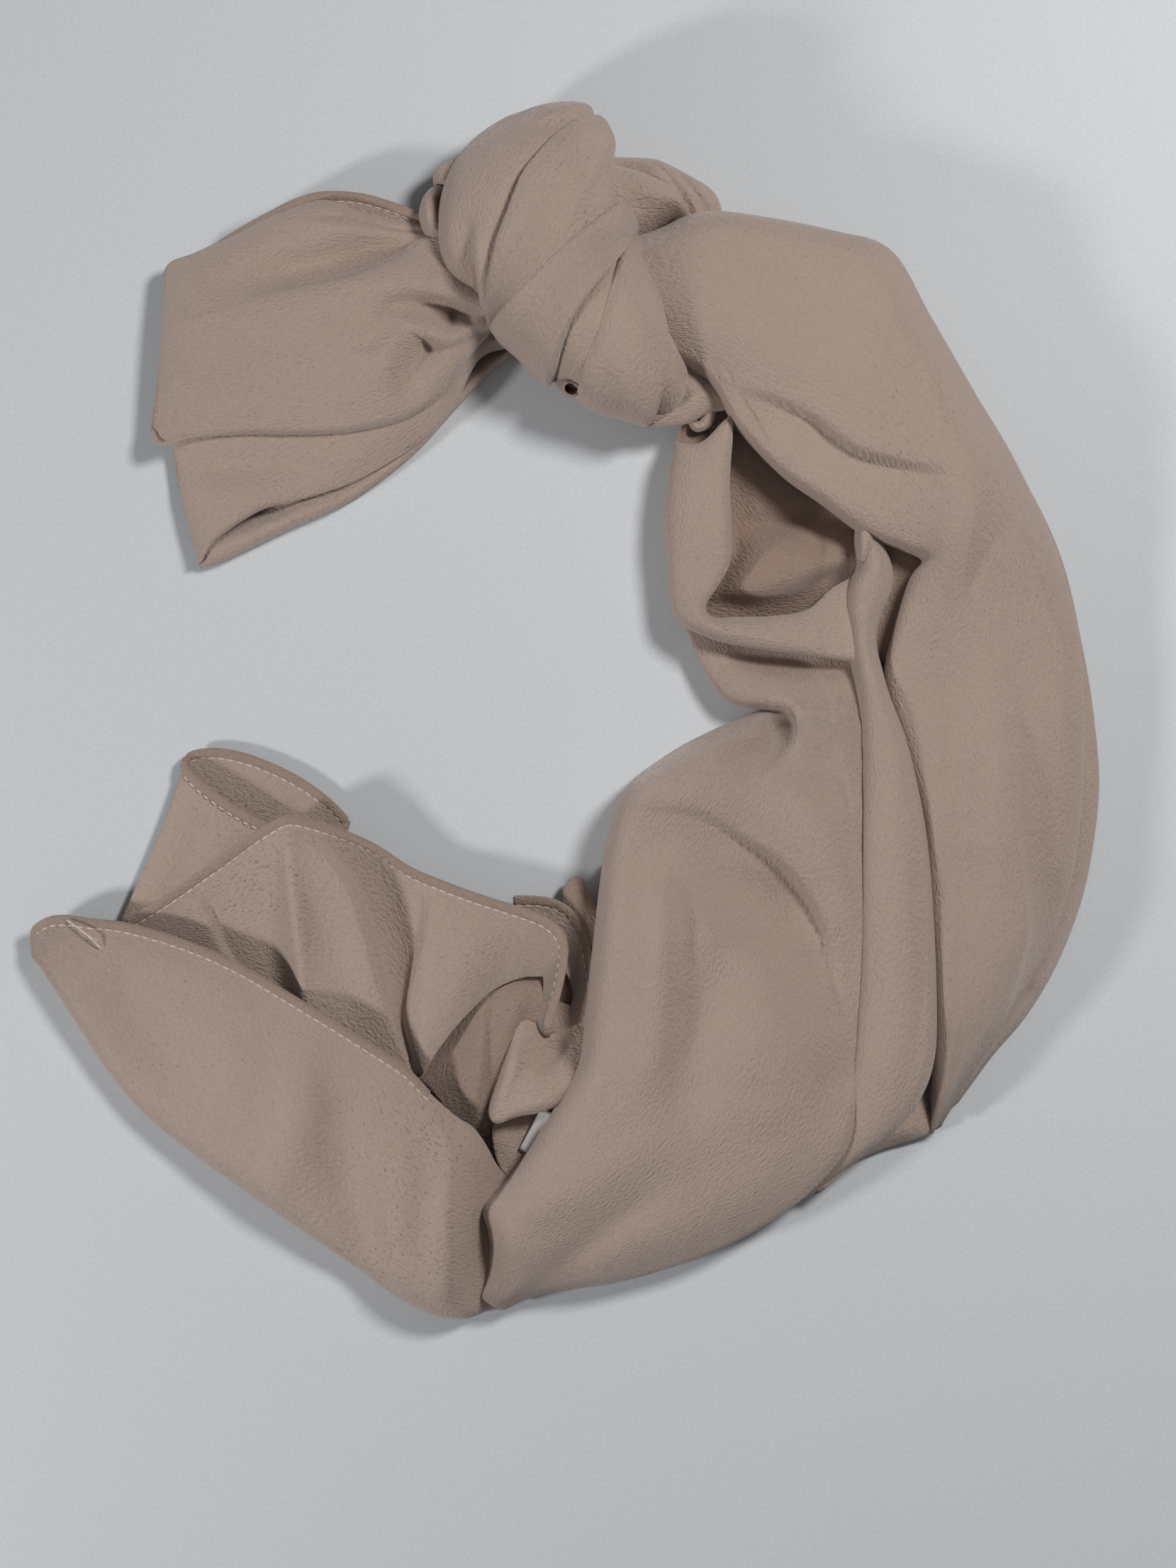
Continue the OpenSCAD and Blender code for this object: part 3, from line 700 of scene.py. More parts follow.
CREASE_1 = [
    (-30, 112), (-24.2, 120.6), (-24, 126), (-23.5, 133), (-21, 145.5), (-18, 153.7), (-14.3, 164),
    (-9, 171.4), (-2.5, 178.6), (2.7, 182.6), (9.3, 185.6), (18, 189)]
CREASE_2 = [
    (-34, 113), (-23.1, 122.8), (-16.5, 128.7), (-9, 135.3), (-1.7, 142), (5.7, 148.6), (13, 154.8),
    (18.4, 160.4), (30, 171)]
CREASE_3 = [
    (-9, 88), (-4, 103.3), (-2.5, 109.5), (-0.3, 116), (2.7, 122), (7, 128), (11.5, 133.8), (15.2, 139),
    (17.8, 144.2), (19.6, 150), (24, 160)]
CREASE_4 = [
    (1, 88), (3.4, 101), (5.7, 108.8), (9.2, 116.1), (11.5, 123.5), (13.7, 131), (15.9, 138.2),
    (18.2, 145.6), (20.4, 153), (26, 162)]
PLEAT_5_EDGE = [
    (24, 70), (26.4, 90.6), (28.4, 95.5), (31, 106.6), (31.2, 112), (29.7, 119.8), (27, 131),
    (24.2, 139.8), (22.4, 147.1), (22, 160)]


def knot_pleats():
    outer_1 = [
        (-36, 110), (-44, 119), (-54, 133), (-58, 150), (-55, 168), (-47, 184), (-33, 198), (-12, 206),
        (10, 204), (26, 197)]
    under_1 = [
        (-27, 109), (-21.5, 120), (-21.5, 127), (-20.5, 134), (-18.2, 146), (-15, 155), (-11, 163),
        (-6, 170), (2, 178), (14, 185.5)]
    cloth(
        "wrap_pleat_1", pleat(
            outer_1, under_1, (0, -2.0),
            [
                ("soft", 2.8, [
                    (-26, 119, -1), (-28.5, 127, -2.6), (-30, 137, -3.6), (-30.6, 146, -2.4),
                    (-31, 156, 0)]),
                ("soft", 2.0, [(-25.2, 121, 0.8), (-25.8, 130, 2.0), (-26.6, 140, 2.0), (-27, 150, 0)]),
                ("soft", 5, [(-34, 130, 0), (-35, 142, 1), (-34, 156, 0.8), (-28, 170, 0)]),
                ("ledge", 7, [
                    (-13, 181.0, 0), (-8, 181.4, 1.6), (-2, 182.4, 2.4), (4, 185, 2.4), (9, 188, 2),
                    (14, 192, 1)])],
            0.8),
        nodes=["wrap_pleat_1"])
    at = np.linspace(0, len(CREASE_2) - 1, len(CREASE_1))
    side_2 = spline(CREASE_2, at) + [1.6, -1.8]
    cloth(
        "wrap_pleat_2", pleat(
            CREASE_1, side_2, (2.0, -1.5),
            [("soft", 8, [(-21, 130, 0), (-14, 146, 0.8), (-4, 160, 1.0), (8, 172, 0)])], 0.9),
        nodes=["wrap_pleat_2"])
    cloth(
        "wrap_pleat_3", pleat(
            spline(CREASE_2, np.linspace(0, len(CREASE_2) - 1, len(CREASE_3))), CREASE_3, (1.3, 2.2),
            [("soft", 6, [(-20, 114, 0), (-12, 118, -0.7), (-3, 126, -0.6), (4, 136, 0)])], 0.8),
        nodes=["wrap_pleat_3"])
    side_4a = np.asarray(CREASE_3, float) + [-3.0, 1.8]
    side_4b = spline(CREASE_4, np.linspace(0, len(CREASE_4) - 1, len(CREASE_3))) + [2.6, -1.0]
    cloth("wrap_pleat_4", pleat(side_4a, side_4b, (-1.2, -0.4), [], 0.2, 0.99), nodes=["wrap_pleat_4"])
    cloth(
        "wrap_pleat_5", pleat(
            CREASE_4, PLEAT_5_EDGE, (1.3, 1.6),
            [
                ("sharp", 0.8, [
                    (4.6, 101, 0), (8, 109, -1.4), (11.2, 116.1, -1.5), (13.4, 123.5, -1.3),
                    (15.4, 131, -1.0), (17.2, 138, 0)]),
                ("soft", 6, [(16, 94, 0), (20, 108, 0.8), (21, 122, 0.8), (21, 138, 0)])],
            0.9),
        nodes=["wrap_pleat_5"])
    cloth("wrap_pleat_5_turn", pleat(
        np.asarray(PLEAT_5_EDGE, float) + [-3, 0],
        [
            (38, 66), (38, 84), (38, 96), (39, 108), (39, 119), (38, 132), (37, 142), (36, 150), (36, 156),
            (36, 162)],
        (-2.6, 0), [], 0.2, 0.985))
    core_a = [(-60, 100), (-70, 141), (-60, 190), (-5, 215), (45, 200)]
    core_b = [(-5, 80), (50, 75), (60, 110), (50, 150), (50, 190)]
    cloth(
        "knot_inner_wrap", pleat(core_a, core_b, (0, 0), [], 0, 0.93, 2.5), nodes=["knot_core"],
        # darker crepe: painted shade on the hidden core
        closed=False, material="crepe_painted_shade")


def knot_curl():
    """The rolled end of a pleat that shows as a small dark hole at the knot's lower edge; its darker crepe is
    painted shade.
    """
    rows = []
    middle, lean = np.array([1.2, 101.0, 27.0]), np.array([-0.25, 0.35, -1.0])
    for far, size in ((-1.0, 2.0), (-0.3, 2.4), (1.5, 2.4), (5, 2.4), (9, 2.2)):
        a = np.linspace(0, 2 * math.pi, 22, endpoint=False)[:, None]
        ring = np.cos(a) * [1.0, -0.35, 0.0] * size + np.sin(a) * [0.3, 0.75, 0.35] * size
        rows.append(middle + lean * far + ring)
    cloth("knot_curl", np.array(rows), material="crepe_painted_shade")


def knot_turns():
    """The folds of cloth that go in and out of the knot."""
    lobe = [
        [(4, 172), (5, 160), (6, 148)], [(15, 171), (16, 160), (18, 148)],
        [(24, 169), (24.5, 160), (24, 150.5)], [(31.4, 165.5), (31, 160), (28.4, 153)],
        [(36, 161.5), (35.5, 158), (33, 154.4)], [(39.5, 157), (39, 154.5), (37, 152)],
        [(43, 150), (42, 148), (40, 146)]]
    cloth("knot_back_turn_inner", stretch(
        lobe,
        [[26, 29, 30, 28, 24]] * 2 + [
            [25, 28, 29, 27, 22], [24, 26, 27, 25, 20], [21, 24, 24, 22, 19], [17, 19, 19, 18, 16],
            [12, 13, 13, 13, 12]],
        (12, 10), 5, (5, 7),
        [
            ("soft", 3, [(20, 166, 0), (26, 162, 0.8), (31, 159, 0.6)]),
            ("soft", 4, [(16, 156, 0), (24, 157, -1.4), (31, 158, -1.0), (37, 158, 0)])],
        rough=0.4, step=1.2))
    outer = [
        [(5, 176), (7, 167)], [(15, 174.6), (16, 168)], [(21, 174.4), (22, 166)], [(28, 173.8), (28, 164)],
        [(33.5, 171.4), (31, 162)], [(39, 168.4), (34, 159)], [(44, 165.4), (37, 156)],
        [(47, 162), (39, 153)], [(48.5, 156), (41, 149)], [(48, 149), (42, 145)]]
    cloth(
        "knot_back_turn", stretch(
            outer,
            [[20, 21, 20]] * 2 + [
                [20, 22, 22], [20, 23, 23], [20, 23, 23], [20, 22, 22], [19, 21, 21], [17, 19, 19],
                [13, 15, 15], [9, 10, 10]],
            (10, 12), 2, (6, 4),
            [
                ("sharp", 0.9, [
                    (24, 173, 0), (27.4, 171.6, -1.6), (33, 166, -2.4), (38.6, 157, -2.4), (40, 150, -1)]),
                ("sharp", 0.9, [
                    (29, 172.4, 0), (33.4, 170, -1.6), (38.4, 165, -2.4), (43.6, 157, -2.4), (45, 150, -1)]),
                ("soft", 2.2, [(12, 171, 0), (18, 170.6, -1.4), (23, 170, -1.4), (27, 168, 0)])],
            rough=0.3, step=1.1),
        nodes=["knot_back_turn"])
    collar = [
        [(-38.6, 141), (-33, 143)], [(-42.4, 145.6), (-36, 147.5)], [(-45.2, 152), (-37, 152.6)],
        [(-46.2, 157), (-38, 157)], [(-45, 162), (-38.6, 160.4)], [(-42.4, 165.2), (-38, 163.4)],
        [(-39, 166.6), (-35, 165)]]
    cloth(
        "knot_collar", stretch(
            collar,
            [
                [18, 19, 18], [20, 22, 22], [21, 24, 24], [21, 24, 24], [20, 23, 22], [18, 20, 20],
                [14, 16, 16]],
            (8, 10), 3, (4, 5),
            [
                ("soft", 1.6, [(-43, 163, 0), (-41, 161, -4), (-40, 157.5, -5), (-39.4, 154, -2)]),
                ("soft", 2.4, [(-43.4, 148, 0), (-41.4, 151, 1), (-42, 156, 1), (-43, 160, 0)])],
            (3, 3), 8, rough=0.3, step=1.1),
        nodes=["knot_collar"])
    bump = [
        [(-41.5, 166.5), (-36, 164)], [(-41.6, 169.4), (-35, 167)], [(-39.6, 172), (-33, 169)],
        [(-36, 174.2), (-30, 171)], [(-32, 176.6), (-27, 173)]]
    cloth("knot_collar_upper", stretch(
        bump, [18, 20, 20], (8, 10), 3, (3.4, 4), ends=(2.4, 2.4), flat_z=8, step=1.1))
    tuck = [
        [(26, 120, 22), (24, 104, 23), (23.4, 92.6, 19)],
        [(32, 120, 22), (28.6, 104, 23.5), (26, 91.2, 19)],
        [(38, 116, 20), (33, 102, 22.5), (30, 90.8, 18)],
        [(44, 112, 18), (38, 101, 21.5), (34.5, 91.2, 17.5)],
        [(49, 107, 17), (43, 99, 20.5), (39.5, 92.2, 17)],
        [(53, 102, 16), (48, 97.6, 18.5), (43.6, 94.4, 16.5)],
        [(56, 98, 14), (52, 96.4, 16), (48.4, 95.6, 14)]]
    rows = [r + [tuple(np.array(r[2]) + [0.2, 1.6, -7])] for r in tuck]
    cloth(
        "knot_lower_tuck", net(
            rows,
            [
                ("soft", 3, [(33, 108, 0), (35, 100, -0.8), (36, 93, -0.6)]),
                ("soft", 2.6, [(38, 104, 0), (40, 99, 0.9), (41, 94, 0.6)])],
            0.3, step=1.2),
        nodes=["knot_lower_tuck"], closed=False)
    bowl = [
        [(37.6, 94, 14), (34.6, 88, 12), (33.2, 83, 13)], [(40, 95, 13), (38.4, 88.4, 8), (38.6, 82, 12)],
        [(44, 96, 12), (43.4, 90, 7), (43.6, 83, 12)], [(49, 98, 12), (48.4, 92.6, 8), (47.6, 86, 13)],
        [(54, 99, 12), (53, 94, 10), (52, 89, 13)]]
    # darker crepe: painted shade in the bowl under the tuck
    cloth("knot_tuck_bowl", net(bowl, step=1.0), closed=False, material="crepe_painted_shade")
    cloth("knot_tuck_curl", roll(
        [(38.6, 92.6), (41, 90.6), (43.4, 91.4), (44.6, 94), (44.6, 97)], [1.4, 2.6, 3, 3, 3],
        [13, 14.6, 16, 17, 17], 8, ends=(1.5, 0), flat_z=12, step=0.7))


# ---------------------------------------------------------------- the right band

def band_layers():
    under = [
        [(60, 154), (55, 120), (60, 88)], [(86, 149.5), (80, 110), (74, 74)],
        [(101, 144.5), (94, 104), (86, 66)], [(120, 112), (108, 84), (96, 58)],
        [(140.5, 81), (120, 62), (100, 46)], [(155.5, 51), (128, 42), (100, 36)],
        [(163, 20), (130, 18), (100, 14)], [(166.5, -2), (134, -4), (104, -6)],
        [(168, -22), (138, -26), (109, -32)], [(166, -42), (138, -50), (112, -58)],
        [(162, -60), (138, -71), (114, -82)], [(154.5, -79), (134, -90), (114, -98)],
        [(145, -95), (130, -102), (115, -109)], [(134, -108), (125, -114), (115, -120)],
        [(123.4, -122.6), (119.4, -125.4), (115.4, -128)]]
    cloth(
        "band_under_layer", stretch(
            under, [5, 8, 9, 9, 7], (2.5, 2.5), 0.8, (7, 7), ends=(0, 6), flat_z=2, rough=0.6,
            folds=[("soft", 3, [(164, -20, 1.2), (160, -52, 1.4), (148, -84, 1.2)])]),
        nodes=["band_under_layer"])
    upper = [
        [(17, 148), (22, 130), (27, 112)], [(29, 152), (33, 132), (37, 108.5)],
        [(42, 157.4), (44, 132), (46, 102.5)], [(60, 156), (58, 126), (54, 89)],
        [(84, 151.5), (76, 114), (67.5, 75)], [(101.5, 145.5), (91, 106), (80, 66)],
        [(114, 125), (103, 91), (93, 56.5)], [(128, 101), (115, 75), (105, 51.5)],
        [(140.5, 80), (125, 62), (111.5, 48)], [(152.5, 54), (131, 46), (107.5, 41.5)],
        [(160, 28), (131, 25), (102.5, 25)], [(162, 8), (132, 6), (100, 10)],
        [(162.5, -12), (134, -12), (106, -10)], [(161, -36), (136, -35), (111.5, -33)],
        [(157.5, -56), (136, -56), (113.5, -56)], [(150, -76), (133, -78), (115, -80)],
        [(140, -94), (128, -97), (115.5, -100)], [(129, -111), (122, -115), (115.5, -118)],
        [(117.5, -130), (116.5, -130.5), (115.5, -131)]]
    tops = [
        [28, 32, 34, 32, 27], [28, 33, 35, 33, 28], [27, 32, 34, 32, 26], [26, 31, 33, 30, 25],
        [24, 30, 31, 28, 24], [22, 30, 31, 28, 25], [20, 29, 30, 28, 25], [18, 27, 29, 28, 25],
        [16, 25, 28, 28, 24], [15, 22, 25, 26, 24], [14, 18, 22, 24, 22], [13, 17, 21, 22, 21],
        [13, 17, 21, 22, 21], [13, 17, 21, 22, 21], [13, 17, 20, 21, 20], [12, 16, 19, 20, 19],
        [11, 15, 17, 18, 17], [10, 12, 14, 15, 14], [8, 9, 10, 10, 9]]
    folds = [
        ("ledge", 10, [
            (46, 103, 0), (52, 101.2, -0.8), (65, 97.2, -2.2), (76.5, 91.9, -3.4), (90, 81.8, -3.8),
            (102, 78, -3.4), (112, 76, -2.2), (120, 74.6, -0.8), (128, 73, 0)][::-1]),
        ("ledge", 16, [
            (52, 101.2, 0), (65, 97.2, 1.4), (76.5, 91.9, 1.8), (90, 81.8, 1.8), (102, 78, 1.2),
            (119, 74.5, 0)]),
        ("soft", 5, [
            (56, 88, 0), (66, 82, 1.0), (75, 74, 1.4), (88, 67, 1.6), (100, 60, 1.2), (112, 56, 0)]),
        ("ledge", 5, [(47.6, 103, 1.2), (51.6, 96, 2), (56.4, 88.6, 2), (64.4, 79.4, 0.8)][::-1]),
        ("ledge", 5, [(51.6, 102, 1.2), (58.4, 90, 1.8), (65.4, 79.6, 0.8)][::-1]),
        ("ledge", 12, [
            (123.4, 34, 0), (124, 40, 1), (125.2, 48, 1.8), (127, 58, 2), (127.4, 67, 1.4), (126, 78, 0)]),
        ("soft", 9, [(103, 98, 0), (112, 92, 1.2), (120, 84, 1.6), (122, 68, 1.6), (119, 50, 0.8)]),
        ("soft", 6, [(113.6, 58, 0), (116.6, 48, 1.6), (113.6, 34, 1.4), (112.4, 20, 0)]),
        ("ledge", 16, [
            (116.8, -132, 0.6), (127.4, -115, 1.2), (133, -108, 1.6), (137.4, -95, 2.2), (143, -76, 2.6),
            (144.6, -64, 2.6), (141, -34, 1.8), (140.6, -10, 0.8), (142, 10, 0)]),
        ("soft", 5, [(148, -30, 0), (150, -60, -1.4), (146, -82, -1.6), (139, -98, -1.0)]),
        ("soft", 7, [(122, 30, 0), (122, 0, -1.2), (123, -40, -1.4), (124, -80, -1.0), (120, -110, 0)]),
        ("soft", 6, [(134, 30, 0), (133, 0, 1.0), (133, -40, 1.2), (134, -80, 0)]),
        ("soft", 12, [(40, 140, 0), (66, 134, -1.6), (92, 116, -1.4), (112, 92, 0)]),
        ("soft", 10, [(36, 124, 0.8), (60, 114, 1.4), (80, 106, 0.8), (100, 92, 0)]),
        ("soft", 4, [(22, 145, -1.4), (30, 148.4, -1.6), (38, 149.6, -1.2), (50, 149, 0)])]
    rims = [(9, 17)] * 13 + [(9, 15), (9, 13), (8, 11.5), (7, 10), (6, 8.4), (5, 6)]
    cloth(
        "band_upper_layer",
        stretch(upper, tops, rims, 6.5, (11, 5), folds, (0, 4), 7, rough=0.8, step=1.35),
        nodes=["band_upper_layer", "band_lower_layer"])
    corner = [
        [(115.8, -132, 4), (114.6, -127, 5), (113, -117, 2.5)],
        [(109, -134.4, 3), (108, -129.6, 8), (107, -120, 3)],
        [(100, -137, 3), (99.6, -132.6, 8), (100, -124, 4)],
        [(89, -141.8, 3), (90, -137.6, 8), (92, -130, 5)], [(80, -146, 3), (82, -142, 6), (85, -136, 5)]]
    cloth(
        "band_corner_tuck",
        net(corner, [("sharp", 1.0, [(115.4, -131, 0.6), (104, -132, 0.8), (92, -137, 0.6)])]),
        nodes=["band_corner_tuck"], closed=False)
    hollow = [
        [(93, 63, 13), (103, 59, 13), (114, 55, 15)], [(94, 50, 13), (105, 47, 12), (117, 45, 14)],
        [(94, 36, 12), (103, 34, 11), (112, 33, 13)], [(93, 20, 10), (99, 18, 9), (108, 17, 12)],
        [(94, 5, 8), (101, 4, 7), (109, 3, 10)]]
    cloth(
        "band_hollow",
        net(hollow, [("soft", 4, [(100, 56, 1.6), (110, 48, 2.2), (108, 36, 1.6), (103, 24, 0)])]),
        # darker crepe: painted shade in the band's hollow
        closed=False, material="crepe_painted_shade")
    rope = [
        [(91.2, 62), (96, 60)], [(90.8, 54), (99.2, 53)], [(91.5, 46.6), (101.6, 46)],
        [(89.2, 40.8), (101.6, 40)], [(87.7, 34.5), (99.2, 33.8)], [(88.3, 26.6), (96.8, 26)],
        [(89.4, 18), (97.4, 18)], [(91, 6), (101.4, 5.6)], [(92.2, -8), (106.4, -7.4)],
        [(92.5, -20), (109.6, -20)], [(91.9, -40), (113, -40)], [(92, -60), (114.7, -62)],
        [(92.2, -80), (115.6, -84)], [(90.5, -103), (115.2, -106)], [(88.7, -120), (111.2, -119.4)],
        [(86.6, -134.5), (103.4, -129.6)], [(80.5, -144.5), (91, -140)], [(72.5, -153), (77.4, -151.6)]]
    rope_tops = [
        [18, 19, 18], [20, 22, 20], [21, 24, 21], [21, 24, 21], [21, 24, 21], [21, 24, 21], [22, 24, 22],
        [22, 25, 22], [22, 25, 22], [22, 25, 22], [22, 25, 22], [22, 25, 22], [21, 24, 21], [20, 23, 20],
        [18, 21, 18], [15, 18, 15], [12, 14, 12], [7, 8, 7]]
    cloth(
        "inner_pleat", stretch(
            rope, rope_tops, (13, 12), 0.8, (4.5, 5), ends=(2, 4), flat_z=5, rough=0.5, folds=[
                ("soft", 3, [(97, 46, 0), (95, 36, -1.2), (93, 20, -0.6), (96, 4, 0)]),
                ("soft", 5, [(98, -10, 0), (100, -40, 0.8), (101, -70, 0.8), (99, -110, 0.6)]),
                ("soft", 3, [(108, -30, 0), (110.5, -60, -0.8), (110.5, -95, -0.8), (104, -124, 0)])]),
        nodes=["inner_pleat"])
    tip = [
        [(90.6, 59.2, 17), (93.2, 59.4, 22), (96, 58, 18)],
        [(90.6, 55, 18), (92.8, 54.6, 24.4), (95.8, 53.6, 20)],
        [(91, 51, 18), (92.4, 50, 23.4), (94, 49.6, 20)],
        [(91.4, 48.2, 18), (92, 47.6, 21.6), (92.8, 47.4, 20)]]
    cloth("inner_pleat_tip", net(tip, step=0.9), closed=False)


# ---------------------------------------------------------------- the pocket below the knot

def pocket():
    corner = [
        [(34.8, 85.8), (42.8, 86), (51.9, 95)], [(34.4, 85.1), (42.7, 85.1), (51.8, 94.2)],
        [(34.2, 84.4), (42.6, 84.2), (51.8, 93.4)], [(33.4, 81), (42.4, 80), (51.3, 86)],
        [(32.2, 74), (41, 73), (50.4, 73)], [(31.2, 61), (41, 60.6), (50.8, 61)],
        [(31.8, 50), (41, 50), (50.6, 48.4)], [(32.6, 40), (40, 40.6), (47.2, 41)],
        [(34.6, 30), (39, 32), (43, 34)], [(44.6, 24.4), (45, 27), (45.4, 29.9)],
        [(53.7, 22), (54, 26), (54.4, 30)], [(63.7, 20.5), (64, 25), (64.4, 30.2)],
        [(74.4, 19.2), (75, 26), (75.6, 32.4)], [(84, 17.8), (84, 29), (84, 39.4)],
        [(94, 16.2), (94, 31), (94, 45)]]
    tops = [
        [7, 7, 7], [15, 16, 17], [19, 20, 22], [20, 22, 23], [20, 23, 23], [20, 23, 23], [20, 22, 22],
        [20, 21, 21], [19, 20, 20], [19, 20, 20], [19, 21, 20], [20, 21, 19], [20, 21, 18], [20, 20, 15],
        [20, 18, 12]]
    bends = [(3, 3), (6, 3)] + [(8, 3.4)] * 7 + [(4, 3)] + [(2.2, 3)] * 5
    rims = [(5.4, 6), (9, 14)] + [(11, 19)] * 6 + [(12, 18), (16.5, 17)]
    rims += [(18, 16)] * 2 + [(18, 14)] + [(18, 12)] * 2
    cloth(
        "side_fold", stretch(corner, tops, rims, 0.8, bends, rough=0.6, folds=[
            ("soft", 5, [(38, 52, 0), (39, 46, -1.2), (42, 40, -0.6)]),
            ("soft", 4, [(46, 84, 0), (46.6, 72, 0.7), (47, 58, 0.7), (45, 46, 0)]),
            ("soft", 3, [(39, 30, 0.4), (46, 26.4, 1.0), (60, 23.4, 1.0), (76, 21, 0.6)])]),
        nodes=["side_roll", "cross_fold"])
    back = [
        [(44, 96, 11), (46, 78, 8), (47, 64, 6), (47, 50, 9), (46, 40, 7), (43, 34.8, 3), (42, 28, 2)],
        [(55, 95, 11), (54, 78, 8), (53, 64, 6), (53, 50, 11), (52, 40, 12), (51.4, 35.4, 5), (51, 28, 2)],
        [(64, 88, 10), (63, 76, 8), (62, 62, 7), (61, 50, 13.6), (60.6, 40, 15), (60.6, 34.4, 6),
         (61, 28, 2)],
        [(74, 80, 9), (73, 72, 7), (72, 61, 7), (71, 52, 13.6), (71, 43, 15), (71.3, 36.6, 7),
         (72, 29, 2)],
        [(84, 74, 9), (83, 68, 6), (82, 60, 7), (81, 53, 12), (81, 47, 14), (81, 42, 7), (82, 33, 3)],
        [(95, 70, 9), (94, 64, 7), (93, 58, 6), (92, 54, 9), (92, 50, 12), (92, 46, 8), (93, 40, 5)]]
    cloth(
        "pocket_layer", net(
            back,
            [
                ("soft", 3.4, [(48, 58, 0), (52, 58, -1), (62, 59.6, -2), (71, 61, -2.6), (85, 62, -1.6)]),
                ("ledge", 7, [(59, 92, 0), (58.4, 85, 0.7), (60, 72, 0.9), (61.4, 62, 0)][::-1]),
                ("soft", 2.6, [(54, 52, -2), (50, 44, -2.6), (48, 40, -1)]),
                ("soft", 3, [(80, 60, 0), (79.6, 52, -1.6), (82, 44, -1)])],
            0.5, step=1.3),
        # darker crepe: painted shade on the pocket's back wall
        nodes=["pocket_layer"], closed=False, material="crepe_painted_shade")


# ---------------------------------------------------------------- the drape at the foot

